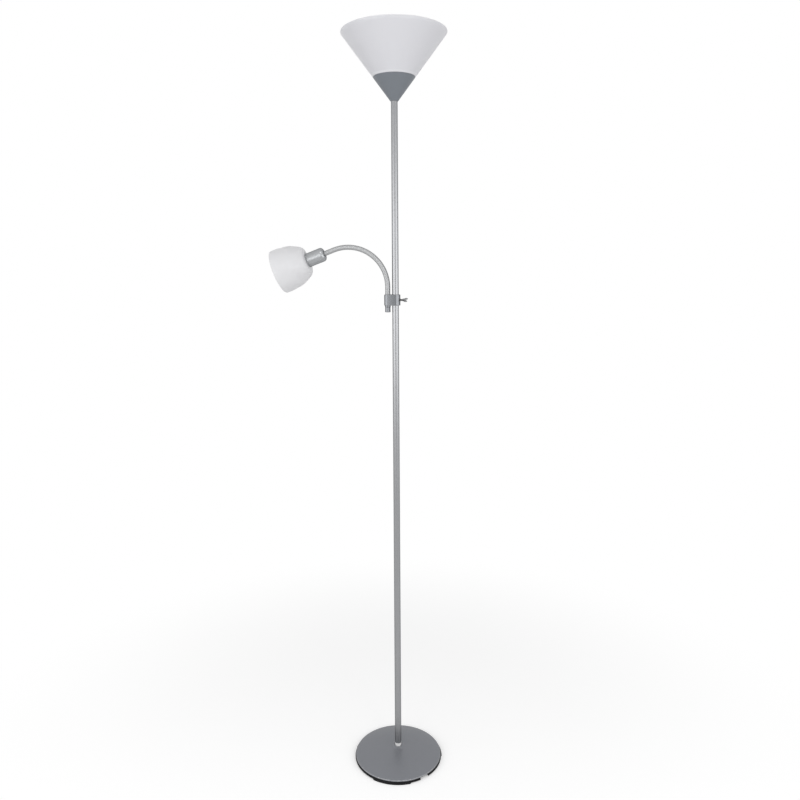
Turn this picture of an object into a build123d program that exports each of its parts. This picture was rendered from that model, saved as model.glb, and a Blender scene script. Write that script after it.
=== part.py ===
"""Torchiere floor lamp with a clamp-on reading light: one STEP file for each separate piece.

Millimetres, +Z up. The origin is on the pole's axis, at the floor. The reading light's arm
reaches out along -X from the pole, and its gooseneck bends in the plane y = 0.
"""

import math
import os

from build123d import *

os.makedirs("parts", exist_ok=True)

# ---- Overall sizes ---------------------------------------------------------------------
OVERALL_HEIGHT = 1800.0  # floor to the rim of the uplighter shade
TORCHIERE_SHADE_R = 127.4  # rim of the uplighter shade
CONE_RISE = 161.4  # height of the cone that the cap and the shade share
CAP_FOOT_WALL = 1.35  # wall of the cap round the pole, where the cone begins
BASE_R = 107.4  # rolled rim of the base cover
POLE_R = 8.0
POLE_WALL = 0.8

# ---- Fits ------------------------------------------------------------------------------
THREAD_FIT = 0.05  # radial, between a screwed thread and its nut
SLIP_FIT = 0.15  # radial, between a tube and what it is pushed into
SLIDE_FIT = 0.06  # radial, pole to liner and liner to bracket
BALL_FIT = 0.10  # radial, in the gooseneck's ball joints
BULB_FIT = 0.5  # radial, a bulb's metal cap in its lampholder

# ---- Lamp thread, used all the way up (M10 x 1) ------------------------------------------
THREAD_R = 5.0
THREAD_BORE_R = 3.7
NUT_WIDTH = 14.0
NUT_HEIGHT = 3.0
LEAD_R = 2.2  # inner two-core lead
THREAD_SPARE = 0.5  # bare thread beyond a nut
NIPPLE_SHORT = 1.0  # a nipple stops this much short of the end of its thread

# ---- Base ------------------------------------------------------------------------------
COVER_THICKNESS = 1.2
COVER_RIM_Z = 6.0  # underside of the rolled rim
COVER_RIM_HEIGHT = 2.4
COVER_TOP_Z = 27.5
COVER_FLARE_WIDTH = 7.0  # flare from the dome up to the seat of the foot collar
COVER_FLARE_DROP = 2.6
COVER_SAG = 4.0  # how far the dome bulges above a straight cone
RING_FOOT_OUT = 3.2  # black ring's foot outside the cover's rim
RING_TOP_OUT = 0.8  # and its top
RING_STEP_Z = 1.5
RING_WIDTH = 14.3  # from its foot in to the wall beside the weight
RING_LEDGE = 7.0  # ledge that carries the weight
RING_FOOT_STEP = 0.7
LEDGE_TOP_Z = 3.0
NOTCH_WIDTH = 24.0  # gap in the ring where the mains cord leaves
NOTCH_ANGLE = -47.0  # degrees from +X
NOTCH_DEPTH = 25.6  # from the ring's foot inwards
PLATE_Z = 0.5
PLATE_THICKNESS = 1.0
WEIGHT_GAP = 0.4  # iron weight to ring
WEIGHT_EDGE_RISE = 0.8  # edge of the weight above the cover's rim
WEIGHT_DROP = 3.0  # iron weight under the cover's flare
WEIGHT_OUTSIDE_FLARE = 1.0
WEIGHT_OUTSIDE_CROWN = 1.5
RECESS_R = 17.0  # nut recess under the weight
RECESS_TOP_Z = 14.0
WASHER_R = 14.0
WASHER_THICKNESS = 1.5
LOCK_WASHER_THICKNESS = 2.0
LOCK_WASHER_WIDTH = 3.6
LOCK_WASHER_SLIT = 1.2
BASE_NUT_WIDTH = 17.0
CHANNEL_WIDTH = 14.0  # lead channel under the weight
CHANNEL_TOP_Z = 8.0
BLOCK_SIZE = (26.0, 12.0, 4.2)  # connector block
BLOCK_AT_R = 48.0
BLOCK_SCREW_AT = (8.0, 3.0)
BLOCK_SCREW_R = 1.6
LEAD_BEND_R = 5.0
LEAD_Z = 4.3
BLOCK_GAP = 1.0  # over the bottom plate

# ---- Foot collar -----------------------------------------------------------------------
COLLAR_FLARE = 2.4  # collar's foot outside its bore
COLLAR_OVER_SEAT = 0.4
COLLAR_HEIGHT = 8.0
COLLAR_FOOT = 0.5  # upright edge under the leaning side
COLLAR_TOP_WALL = 0.45
COLLAR_ROUND = 0.12  # how far the leaning side stands out of a straight line

# ---- Pole ------------------------------------------------------------------------------
POLE_SECTIONS = 3
POLE_NAMES = ("pole_lower", "pole_middle", "pole_upper")
INSERT_LENGTH = 15.0
JOINT_NIPPLE_LENGTH = 28.0

# ---- Torchiere head --------------------------------------------------------------------
CAP_HEIGHT = 56.4
CAP_WALL = 2.4  # measured level, not square to the wall
CAP_FLOOR_Z = 9.4  # floor's underside above the cap's foot
CAP_FLOOR = 2.4
SHADE_WALL = 2.6  # measured level
SHADE_NECK_DEPTH = 11.0  # how far the shade reaches down inside the cap
SHADE_NECK_GAP = 0.3
SHADE_FLOOR = 2.5
SHADE_RIM_ROUND = 1.3
HOLDER_R = 20.0  # E27 lampholder's threaded skirt
HOLDER_GAP = 3.6  # cap floor to lampholder, over the nut
HOLDER_LENGTH = 52.0
HOLDER_FOOT_R = 14.0
HOLDER_BODY_R = 17.5
HOLDER_FLANGE = 3.0  # its shoulder outside the skirt
E27_BORE_R = 13.6
HOLDER_BORE_DEPTH = 32.0
HOLDER_FOOT_HEIGHT = 8.0
HOLDER_SHOULDER = 3.0
HOLDER_THREAD = 10.0  # length of lamp thread in its foot
RING_NUT_WIDTH = 8.5  # shade ring of the E27 lampholder
RING_NUT_HEIGHT = 6.0
BULB_R = 30.0
BULB_LENGTH = 108.0
BULB_CAP_LENGTH = 26.0
BULB_SEAT = 1.5  # foot of the bulb above the lampholder's contact
GLASS_WALL = 1.0
LEAD_END = 3.0  # how far the lead reaches into the lampholder

# ---- Bracket, liner and wing screw --------------------------------------------------------
BRACKET_Z = 1148.5  # underside
BRACKET_HEIGHT = 26.5
POLE_EYE_WALL = 2.93
ARM_EYE_OVER = 1.85  # arm eye's radius over the gooseneck's
ARM_GAP = 4.75  # clear gap between the pole and the gooseneck
BRACKET_EDGE = 0.7
BRACKET_CONE = 4.5  # short cone under the arm eye
LINER_WALL = 0.85
LINER_SLIT = 2.0
LINER_SHORT = 0.5  # liner stops this much inside each face of the bracket
SCREW_R = 2.5  # M5 x 0.8
SCREW_PITCH = 0.8
SCREW_TURNS = 1.0
PAD_R = 3.0
PAD_THICKNESS = 0.8
PAD_SPARE = 0.15
INSERT_R = 3.6
INSERT_FLANGE_R = 4.6
INSERT_FLANGE = 0.8
INSERT_PROUD = 0.2  # insert's flange proud of the pole eye
WING_GAP = 5.6  # bare thread between the pole eye and the hub
HUB_R = 3.4
HUB_LENGTH = 5.0
WING_SPAN = 11.5
WING_LENGTH = 12.0
WING_THICKNESS = 2.0
WING_TILT = 17.5  # degrees about the screw, as it was left

# ---- Gooseneck ---------------------------------------------------------------------------
NECK_R = 6.25
NECK_BORE_R = 3.5
NECK_LOW_STRAIGHT = 18.0
NECK_BEND_R = 98.0
NECK_BEND = 111.0  # degrees, from straight up to the reading head's axis
NECK_JOINTS = 8
NECK_HIGH_STRAIGHT = 24.0
SOCKET_LIP = 0.8  # wall left at a socket's lip
END_SPIGOT = 12.0
END_STEM = 38.0  # threaded stem under the gooseneck
TAIL_NUT_OVER = 0.25  # long nut's radius over the gooseneck's
TAIL_NUT_LENGTH = 12.2
HEAD_STEM = 10.0

# ---- Reading head, measured along its own axis --------------------------------------------
HOUSING_GAP = 0.3  # between the housing and the lampholder's shoulder
HOUSING_LENGTH = 46.2
HOUSING_WALL = 1.8
HOUSING_ROUND = 8.0
HEAD_JOINT_GAP = 0.4
SMALL_HOLDER_R = 14.0  # E14 lampholder's threaded skirt
SMALL_HOLDER_FROM = 11.0
SMALL_HOLDER_LENGTH = 51.0
SMALL_HOLDER_FOOT_R = 10.0
SMALL_HOLDER_FOOT_HEIGHT = 7.0
SMALL_BODY_STEP = 1.0  # body inside the skirt's line
SMALL_FLANGE = 1.4
SMALL_SHOULDER = 2.5
E14_BORE_R = 7.4
SMALL_BORE_DEPTH = 20.0
SMALL_RING_WIDTH = 6.5
SMALL_RING_HEIGHT = 5.0
BELL_LENGTH = 78.0
BELL_WALL = 2.2
BELL_BACK_R = 29.0  # flat back of the bell
BELL_RIM_R = 55.0
BELL_DRAWN = (55.0, 77.6)  # radius and length that the next four points are drawn for
BELL_SHOULDER = (44.6, 18.0)  # radius and distance of a point on the round shoulder
BELL_FLANK = (50.4, 31.0)  # where the round shoulder runs into the flank
BELL_SIDE = (53.6, 48.0)
BELL_FULL = (55.3, 66.0)  # widest, just behind the rim
SMALL_BULB_R = 20.0
SMALL_BULB_LENGTH = 69.0
SMALL_BULB_CAP_LENGTH = 20.0
SMALL_BULB_SEAT = 1.0

# ---- Worked out ----------------------------------------------------------------------------
CONE_FOOT_Z = OVERALL_HEIGHT - CONE_RISE
CONE_FOOT_R = POLE_R + SLIP_FIT + CAP_FOOT_WALL
CONE_SLOPE = (TORCHIERE_SHADE_R - CONE_FOOT_R) / (CONE_RISE - SHADE_RIM_ROUND)
CAP_TOP_Z = CONE_FOOT_Z + CAP_HEIGHT
POLE_TOP_Z = CONE_FOOT_Z + CAP_FLOOR_Z
POLE_FOOT_Z = COVER_TOP_Z
SECTION_LENGTH = (POLE_TOP_Z - POLE_FOOT_Z) / POLE_SECTIONS
RING_OUT_R = BASE_R + RING_FOOT_OUT
RING_IN_R = RING_OUT_R - RING_WIDTH
INSERT_OUT_R = POLE_R - POLE_WALL - THREAD_FIT
CLEAR_R = THREAD_R + SLIP_FIT
THREAD_HOLE_R = THREAD_R + THREAD_FIT
COLLAR_R = POLE_R + SLIP_FIT + COLLAR_FLARE
COVER_CROWN_R = COLLAR_R - COLLAR_OVER_SEAT
COVER_FLARE_R = COVER_CROWN_R + COVER_FLARE_WIDTH
HOLDER_Z = POLE_TOP_Z + CAP_FLOOR + HOLDER_GAP
HOLDER_SHOULDER_R = HOLDER_R + HOLDER_FLANGE
E27_CAP_R = E27_BORE_R - BULB_FIT
RING_NUT_R = HOLDER_R + RING_NUT_WIDTH
SHADE_SEAT_Z = CAP_TOP_Z - SHADE_NECK_DEPTH
HOLDER_BORE_Z = HOLDER_Z + HOLDER_LENGTH - HOLDER_BORE_DEPTH
BULB_Z = HOLDER_BORE_Z + BULB_SEAT
BRACKET_TOP_Z = BRACKET_Z + BRACKET_HEIGHT
LINER_IN_R = POLE_R + SLIDE_FIT
LINER_OUT_R = LINER_IN_R + LINER_WALL
EYE_BORE_R = LINER_OUT_R + SLIDE_FIT
POLE_EYE_R = EYE_BORE_R + POLE_EYE_WALL
ARM_EYE_R = NECK_R + ARM_EYE_OVER
ARM_X = -(POLE_R + ARM_GAP + NECK_R)
SCREW_Z = BRACKET_Z + BRACKET_HEIGHT / 2
PAD_FROM_X = EYE_BORE_R
PAD_TO_X = PAD_FROM_X + PAD_THICKNESS
POCKET_TO_X = PAD_TO_X + SCREW_PITCH * SCREW_TURNS + PAD_SPARE
INSERT_OUT = POLE_EYE_R + INSERT_PROUD
WING_FROM_X = POLE_EYE_R + WING_GAP
TAIL_NUT_R = NECK_R + TAIL_NUT_OVER
TAIL_NUT_Z = BRACKET_Z - BRACKET_CONE - TAIL_NUT_LENGTH
BEND_CENTRE = Vector(ARM_X - NECK_BEND_R, 0, BRACKET_TOP_Z + NECK_LOW_STRAIGHT)
BEND_STEP = NECK_BEND / NECK_JOINTS
HALF_STEP = NECK_BEND_R * math.tan(math.radians(BEND_STEP / 2))
SOCKET_R = NECK_R + BALL_FIT
SMALL_SHOULDER_R = SMALL_HOLDER_R + SMALL_FLANGE
E14_CAP_R = E14_BORE_R - BULB_FIT
SMALL_RING_R = SMALL_HOLDER_R + SMALL_RING_WIDTH
HOUSING_R = SMALL_SHOULDER_R + HOUSING_GAP + HOUSING_WALL
BELL_FROM = HOUSING_LENGTH + HEAD_JOINT_GAP
BELL_TO = HOUSING_LENGTH + BELL_LENGTH
BELL_SCALE = (BELL_RIM_R / BELL_DRAWN[0], (BELL_TO - BELL_FROM) / BELL_DRAWN[1])


# ---- Helpers -------------------------------------------------------------------------------
def save(name, shape):
    """Write one node's STEP file."""
    shape.label = name
    export_step(shape, f"parts/{name}.step")


def turned(*points):
    """Solid of revolution about Z from a closed outline of (radius, height) points."""
    outline = Polyline(*[(r, 0, z) for r, z in points], close=True)
    return revolve(make_face(outline), Axis.Z)


def turned_edges(edges):
    """Solid of revolution about Z from joined edges that lie in the XZ plane."""
    return revolve(make_face(edges), Axis.Z)


def at(r, z):
    """A point of an outline in the XZ plane."""
    return Vector(r, 0, z)


def tube(outer, inner, low, high):
    """Straight tube about Z."""
    return turned((inner, low), (outer, low), (outer, high), (inner, high))


def hex_nut(low, width=NUT_WIDTH, height=NUT_HEIGHT, bore=THREAD_HOLE_R):
    """Hexagonal nut about Z, width across its flats."""
    hexagon = RegularPolygon(width / 2, 6, major_radius=False)
    return Pos(0, 0, low) * (extrude(hexagon, height) - Pos(0, 0, height / 2) * Cylinder(bore, 2 * height))


def group(shapes):
    """Several separate solids in one node."""
    return Compound(children=list(shapes))


def cone_r(z):
    """Outer radius of the cone that the cap and the uplighter shade share."""
    return CONE_FOOT_R + CONE_SLOPE * (z - CONE_FOOT_Z)


def neck_joint(k):
    """Centre of the gooseneck's ball joint k, counted from 1 at the bracket."""
    angle = math.radians((k - 0.5) * BEND_STEP)
    reach = NECK_BEND_R / math.cos(math.radians(BEND_STEP / 2))
    return BEND_CENTRE + Vector(reach * math.cos(angle), 0, reach * math.sin(angle))


def along_neck(point, k):
    """Location at a point, its Z along the gooseneck's length number k."""
    return Location(tuple(point), (0, -k * BEND_STEP, 0))


def head_frame():
    """Location of the reading head: origin at the back of its housing, Z along its axis."""
    last = along_neck(neck_joint(NECK_JOINTS), NECK_JOINTS)
    return last * Pos(0, 0, HALF_STEP + NECK_HIGH_STRAIGHT)


# ---- Base ------------------------------------------------------------------------------------
def dome_edges(drop):
    """Top line of the cover, lowered by drop: dome, flare and crown, from the rim inwards."""
    rim = at(BASE_R - drop, COVER_RIM_Z + COVER_RIM_HEIGHT - drop)
    flare = at(COVER_FLARE_R, COVER_TOP_Z - COVER_FLARE_DROP - drop)
    crown = at(COVER_CROWN_R, COVER_TOP_Z - drop)
    bulge = (rim + flare) / 2 + Vector(0, 0, COVER_SAG)
    rise = (flare + crown) / 2 - Vector(0.35, 0, 0.45)
    return [ThreePointArc(rim, bulge, flare), ThreePointArc(flare, rise, crown)]


def base_cover():
    """Pressed steel dome with a rolled rim and a hole for the lamp thread."""
    top = dome_edges(0)
    under = dome_edges(COVER_THICKNESS)
    rim, crown = top[0] @ 0, top[1] @ 1
    rim_in, crown_in = under[0] @ 0, under[1] @ 1
    foot, foot_in = at(rim.X, COVER_RIM_Z), at(rim_in.X, COVER_RIM_Z)
    hole, hole_in = at(CLEAR_R, crown.Z), at(CLEAR_R, crown_in.Z)
    edges = top + under + [
        Line(foot, rim),
        Line(foot, foot_in),
        Line(foot_in, rim_in),
        Line(crown, hole),
        Line(hole, hole_in),
        Line(hole_in, crown_in),
    ]
    return turned_edges(edges)


def notch_cutter(height):
    """Block along the cord's way out, through the ring and past it."""
    length = NOTCH_DEPTH + 5
    block = Pos(RING_OUT_R - NOTCH_DEPTH + length / 2, 0, 0) * Box(length, NOTCH_WIDTH, 2 * height)
    return Rot(0, 0, NOTCH_ANGLE) * block


def base_ring():
    """Black plastic ring that the lamp stands on, open at the cord notch."""
    ring = turned(
        (RING_IN_R - RING_LEDGE, RING_STEP_Z),
        (RING_IN_R - RING_LEDGE, LEDGE_TOP_Z),
        (RING_IN_R, LEDGE_TOP_Z),
        (RING_IN_R, COVER_RIM_Z),
        (BASE_R + RING_TOP_OUT, COVER_RIM_Z),
        (RING_OUT_R, RING_STEP_Z),
        (RING_OUT_R, 0),
        (RING_IN_R + RING_FOOT_STEP, 0),
        (RING_IN_R + RING_FOOT_STEP, RING_STEP_Z),
    )
    return ring - notch_cutter(COVER_RIM_Z + 1)


def base_weight():
    """Cast iron disc under the cover, with its nut recess and lead channel."""
    r = RING_IN_R - WEIGHT_GAP
    edge_z = COVER_RIM_Z + COVER_RIM_HEIGHT + WEIGHT_EDGE_RISE
    boss_z = COVER_TOP_Z - COVER_THICKNESS
    disc = turned(
        (CLEAR_R, RECESS_TOP_Z),
        (RECESS_R, RECESS_TOP_Z),
        (RECESS_R, LEDGE_TOP_Z),
        (r, LEDGE_TOP_Z),
        (r, edge_z),
        (COVER_FLARE_R + WEIGHT_OUTSIDE_FLARE, COVER_TOP_Z - COVER_FLARE_DROP - WEIGHT_DROP),
        (COVER_CROWN_R + WEIGHT_OUTSIDE_CROWN, boss_z - WEIGHT_DROP),
        (COVER_CROWN_R, boss_z),
        (CLEAR_R, boss_z),
    )
    height = CHANNEL_TOP_Z - LEDGE_TOP_Z
    channel = Pos((r + 10) / 2, 0, LEDGE_TOP_Z + height / 2 - 1) * Box(r + 10, CHANNEL_WIDTH, height + 2)
    return disc - Rot(0, 0, NOTCH_ANGLE) * channel


def bottom_plate():
    """Thin board that closes the underside, inside the black ring."""
    plate = Pos(0, 0, PLATE_Z + PLATE_THICKNESS / 2) * Cylinder(RING_IN_R, PLATE_THICKNESS)
    return plate - notch_cutter(COVER_RIM_Z)


def base_fasteners():
    """Washer, lock washer and nut that pull the pole down on the base, from the top down."""
    washer_z = RECESS_TOP_Z - WASHER_THICKNESS
    lock_z = washer_z - LOCK_WASHER_THICKNESS
    bore = CLEAR_R
    washer = tube(WASHER_R, bore, washer_z, RECESS_TOP_Z)
    lock = tube(THREAD_R + LOCK_WASHER_WIDTH, bore, lock_z, washer_z)
    slit_box = Box(8, LOCK_WASHER_SLIT, 4 * LOCK_WASHER_THICKNESS)
    slit = Pos(THREAD_R + 2, 0, lock_z + LOCK_WASHER_THICKNESS / 2) * Rot(20, 0, 0) * slit_box
    return washer, lock - slit, hex_nut(lock_z - NUT_HEIGHT, BASE_NUT_WIDTH)


def thread_tube(low, high):
    """Hollow threaded steel tube, its thread as a plain cylinder."""
    return tube(THREAD_R, THREAD_BORE_R, low, high)


def foot_collar():
    """Bright collar where the pole meets the base, its side leaning in to a thin lip."""
    inner = POLE_R + SLIP_FIT
    low, high = COVER_TOP_Z, COVER_TOP_Z + COLLAR_HEIGHT
    foot, lip = at(COLLAR_R, low + COLLAR_FOOT), at(inner + COLLAR_TOP_WALL, high)
    middle = foot + (lip - foot) / 2 + Vector(COLLAR_ROUND, 0, 0)
    edges = [
        Line(at(inner, low), at(COLLAR_R, low)),
        Line(at(COLLAR_R, low), foot),
        ThreePointArc(foot, middle, lip),
        Line(lip, at(inner, high)),
        Line(at(inner, high), at(inner, low)),
    ]
    return turned_edges(edges)


def connector_block():
    """Joins the mains cord to the inner lead, in the channel under the weight."""
    length, width, height = BLOCK_SIZE
    body = Box(length, width, height)
    across, aside = BLOCK_SCREW_AT
    for x, y in ((-across, -aside), (-across, aside), (across, -aside), (across, aside)):
        body -= Pos(x, y, height / 2) * Cylinder(BLOCK_SCREW_R, height / 2)
    place = Rot(0, 0, NOTCH_ANGLE) * Pos(BLOCK_AT_R, 0, PLATE_Z + PLATE_THICKNESS + BLOCK_GAP + height / 2)
    return place * body


def inner_lead():
    """Two-core lead from the connector block, up through the pole to the lampholder."""
    start = BLOCK_AT_R - BLOCK_SIZE[0] / 2
    path = FilletPolyline(
        (start, 0, LEAD_Z), (0, 0, LEAD_Z), (0, 0, HOLDER_Z + LEAD_END), radius=LEAD_BEND_R
    )
    section = Plane(origin=(start, 0, LEAD_Z), z_dir=(-1, 0, 0)) * Circle(LEAD_R)
    return Rot(0, 0, NOTCH_ANGLE) * sweep(section, path=path)


# ---- Pole -------------------------------------------------------------------------------------
def pole_section(k):
    """Steel tube number k, counted from 0 at the floor."""
    low = POLE_FOOT_Z + k * SECTION_LENGTH
    return tube(POLE_R, POLE_R - POLE_WALL, low, low + SECTION_LENGTH)


def pole_inserts():
    """Threaded bushes pressed into both ends of each tube."""
    inserts = []
    for k in range(POLE_SECTIONS):
        low = POLE_FOOT_Z + k * SECTION_LENGTH
        high = low + SECTION_LENGTH
        for a, b in ((low, low + INSERT_LENGTH), (high - INSERT_LENGTH, high)):
            inserts.append(tube(INSERT_OUT_R, THREAD_HOLE_R, a, b))
    return group(inserts)


def pole_nipples():
    """Threaded tubes that screw the pole's sections together."""
    half = JOINT_NIPPLE_LENGTH / 2
    joints = [POLE_FOOT_Z + k * SECTION_LENGTH for k in range(1, POLE_SECTIONS)]
    return group(thread_tube(z - half, z + half) for z in joints)


# ---- Torchiere head -----------------------------------------------------------------------------
def torchiere_cap():
    """Grey cone that covers the lampholder, clamped by its floor to the top of the pole."""
    floor_top = POLE_TOP_Z + CAP_FLOOR
    bore = POLE_R + SLIP_FIT
    return turned(
        (bore, CONE_FOOT_Z),
        (CONE_FOOT_R, CONE_FOOT_Z),
        (cone_r(CAP_TOP_Z), CAP_TOP_Z),
        (cone_r(CAP_TOP_Z) - CAP_WALL, CAP_TOP_Z),
        (cone_r(floor_top) - CAP_WALL, floor_top),
        (CLEAR_R, floor_top),
        (CLEAR_R, POLE_TOP_Z),
        (bore, POLE_TOP_Z),
    )


def torchiere_lampholder():
    """E27 lampholder, screwed on the lamp thread above the cap's nut."""
    top = HOLDER_Z + HOLDER_LENGTH
    shoulder = SHADE_SEAT_Z - HOLDER_SHOULDER
    thread_top = HOLDER_Z + HOLDER_THREAD
    return turned(
        (THREAD_HOLE_R, HOLDER_Z),
        (HOLDER_FOOT_R, HOLDER_Z),
        (HOLDER_BODY_R, HOLDER_Z + HOLDER_FOOT_HEIGHT),
        (HOLDER_BODY_R, shoulder),
        (HOLDER_SHOULDER_R, shoulder),
        (HOLDER_SHOULDER_R, SHADE_SEAT_Z),
        (HOLDER_R, SHADE_SEAT_Z),
        (HOLDER_R, top),
        (E27_BORE_R, top),
        (E27_BORE_R, HOLDER_BORE_Z),
        (LEAD_R + 1, HOLDER_BORE_Z),
        (LEAD_R + 1, thread_top),
        (THREAD_HOLE_R, thread_top),
    )


def torchiere_shade():
    """Frosted cone: flush with the cap outside, and stepped in to sit down inside it."""
    z0, z1 = SHADE_SEAT_Z, CAP_TOP_Z
    neck = CAP_WALL + SHADE_NECK_GAP
    inner_neck = neck + SHADE_WALL
    step_z = z1 + 5
    floor_z = z0 + SHADE_FLOOR
    rim_z = OVERALL_HEIGHT - SHADE_RIM_ROUND
    out_rim = at(cone_r(rim_z), rim_z)
    in_rim = at(cone_r(rim_z) - SHADE_WALL, rim_z)
    crest = at(cone_r(rim_z) - SHADE_WALL / 2, OVERALL_HEIGHT)
    corners = [
        in_rim,
        at(cone_r(step_z) - SHADE_WALL, step_z),
        at(cone_r(floor_z) - inner_neck, floor_z),
        at(HOLDER_R + SLIP_FIT, floor_z),
        at(HOLDER_R + SLIP_FIT, z0),
        at(cone_r(z0) - neck, z0),
        at(cone_r(z1) - neck, z1),
        at(cone_r(z1), z1),
        out_rim,
    ]
    sides = [Line(a, b) for a, b in zip(corners, corners[1:])]
    return turned_edges(sides + [ThreePointArc(out_rim, crest, in_rim)])


def ring_nut(outer, inner, low, height, grips):
    """Shade ring: a flat threaded ring with grip notches round its edge."""
    ring = tube(outer, inner, low, low + height)
    for k in range(grips):
        notch = Pos(outer + 0.6, 0, low + height / 2 + 1) * Cylinder(1.6, height)
        ring -= Rot(0, 0, k * 360 / grips) * notch
    return ring


def bulb_globe(low, length, cap_length, cap_r, globe_r):
    """Hollow glass of a round bulb, open below where its metal cap holds it."""
    neck_z = low + cap_length
    top_z = low + length

    def wall(inset):
        r = globe_r - inset
        centre = top_z - globe_r
        neck = at(cap_r - 1.4 - inset, neck_z - 5)
        waist = at(cap_r - 0.4 - inset, neck_z + 3)
        side_angle = math.radians(-38)
        side = at(r * math.cos(side_angle), centre + r * math.sin(side_angle))
        equator = at(r * math.cos(math.radians(20)), centre + r * math.sin(math.radians(20)))
        pole = at(0, centre + r)
        return neck, waist, side, equator, pole

    outer, inner = wall(0), wall(GLASS_WALL)
    edges = []
    for neck, waist, side, equator, pole in (outer, inner):
        edges += [Line(neck, waist), Line(waist, side), ThreePointArc(side, equator, pole)]
    edges += [Line(outer[0], inner[0]), Line(outer[4], inner[4])]
    return turned_edges(edges)


def bulb_cap(low, cap_length, cap_r):
    """Screw cap of a bulb: a thin cup with a contact at its foot."""
    wall = 0.6
    return turned(
        (0, low),
        (3, low),
        (cap_r * 0.75, low + 3),
        (cap_r, low + 5),
        (cap_r, low + cap_length),
        (cap_r - wall, low + cap_length),
        (cap_r - wall, low + 6),
        (0, low + 4),
    )


# ---- Bracket, liner, wing screw ------------------------------------------------------------------
def bracket_liner():
    """Split plastic bush between the pole and the bracket."""
    low, high = BRACKET_Z + LINER_SHORT, BRACKET_TOP_Z - LINER_SHORT
    slit = Pos(0, -LINER_OUT_R, SCREW_Z) * Box(LINER_SLIT, 2 * LINER_OUT_R, 2 * BRACKET_HEIGHT)
    return tube(LINER_OUT_R, LINER_IN_R, low, high) - slit


def along_x(radius, start, end):
    """Cylinder along X at the wing screw's height."""
    middle = Pos((start + end) / 2, 0, SCREW_Z)
    return middle * Rot(0, 90, 0) * Cylinder(radius, end - start)


def bracket():
    """Moulded clamp block: round at the pole, level flat sides, two round corners at the arm."""
    corner_y = POLE_EYE_R - ARM_EYE_R
    rounds = [Circle(POLE_EYE_R)] + [Pos(ARM_X, y) * Circle(ARM_EYE_R) for y in (corner_y, -corner_y)]
    outline = make_hull([edge for one in rounds for edge in one.edges()])
    block = Pos(0, 0, BRACKET_Z) * extrude(outline, BRACKET_HEIGHT)
    rims = block.edges().group_by(Axis.Z)
    block = chamfer(rims[0] + rims[-1], BRACKET_EDGE)
    foot = turned(
        (0, BRACKET_Z + 1),
        (0, BRACKET_Z - BRACKET_CONE),
        (TAIL_NUT_R + 0.2, BRACKET_Z - BRACKET_CONE),
        (ARM_EYE_R - BRACKET_EDGE, BRACKET_Z),
        (ARM_EYE_R - BRACKET_EDGE, BRACKET_Z + 1),
    )
    block += Pos(ARM_X, 0, 0) * foot
    through = 3 * BRACKET_HEIGHT
    block -= Pos(0, 0, SCREW_Z) * Cylinder(EYE_BORE_R, through)
    block -= Pos(ARM_X, 0, SCREW_Z) * Cylinder(CLEAR_R, through)
    block -= along_x(PAD_R + SLIP_FIT, EYE_BORE_R - 1, POCKET_TO_X)
    block -= along_x(INSERT_R, POCKET_TO_X - 0.1, POLE_EYE_R + 2)
    block -= along_x(INSERT_FLANGE_R, INSERT_OUT - INSERT_FLANGE, POLE_EYE_R + 2)
    return block


def clamp_insert():
    """Brass threaded insert in the bracket's wall, flanged outside."""
    body = along_x(INSERT_R - THREAD_FIT, POCKET_TO_X, INSERT_OUT)
    flange = along_x(INSERT_FLANGE_R - THREAD_FIT, INSERT_OUT - INSERT_FLANGE, INSERT_OUT)
    return body + flange - along_x(SCREW_R + THREAD_FIT, POCKET_TO_X - 1, INSERT_OUT + 1)


def clamp_pad():
    """Nylon disc that the wing screw presses against the split liner."""
    disc = along_x(PAD_R, PAD_FROM_X - PAD_R / 2, PAD_TO_X)
    return disc - Pos(0, 0, SCREW_Z) * Cylinder(PAD_FROM_X + SLIDE_FIT, 4 * PAD_R)


def wing(side):
    """One ear of the wing screw, in the XY plane before the screw is turned."""
    x = WING_FROM_X
    ear = Spline(
        (x + 0.6, side * (HUB_R - 1.4)),
        (x + WING_LENGTH * 0.26, side * WING_SPAN * 0.62),
        (x + WING_LENGTH * 0.66, side * WING_SPAN),
        (x + WING_LENGTH, side * WING_SPAN * 0.80),
        (x + WING_LENGTH * 0.86, side * WING_SPAN * 0.52),
        (x + HUB_LENGTH - 0.4, side * (HUB_R - 1.4)),
    )
    base = Line(ear @ 1, ear @ 0)
    return extrude(make_face([ear, base]), WING_THICKNESS / 2, both=True)


def wing_screw():
    """M5 screw with two cast ears."""
    hub = turned(
        (0, 0),
        (SCREW_R + 0.3, 0),
        (HUB_R, 1.2),
        (HUB_R, HUB_LENGTH - 1),
        (HUB_R - 1, HUB_LENGTH),
        (0, HUB_LENGTH),
    )
    hub = Pos(WING_FROM_X, 0, SCREW_Z) * Rot(0, 90, 0) * hub
    ears = Pos(0, 0, SCREW_Z) * Rot(WING_TILT, 0, 0) * (wing(1) + wing(-1))
    return along_x(SCREW_R, PAD_TO_X, WING_FROM_X + 1) + hub + ears


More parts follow.
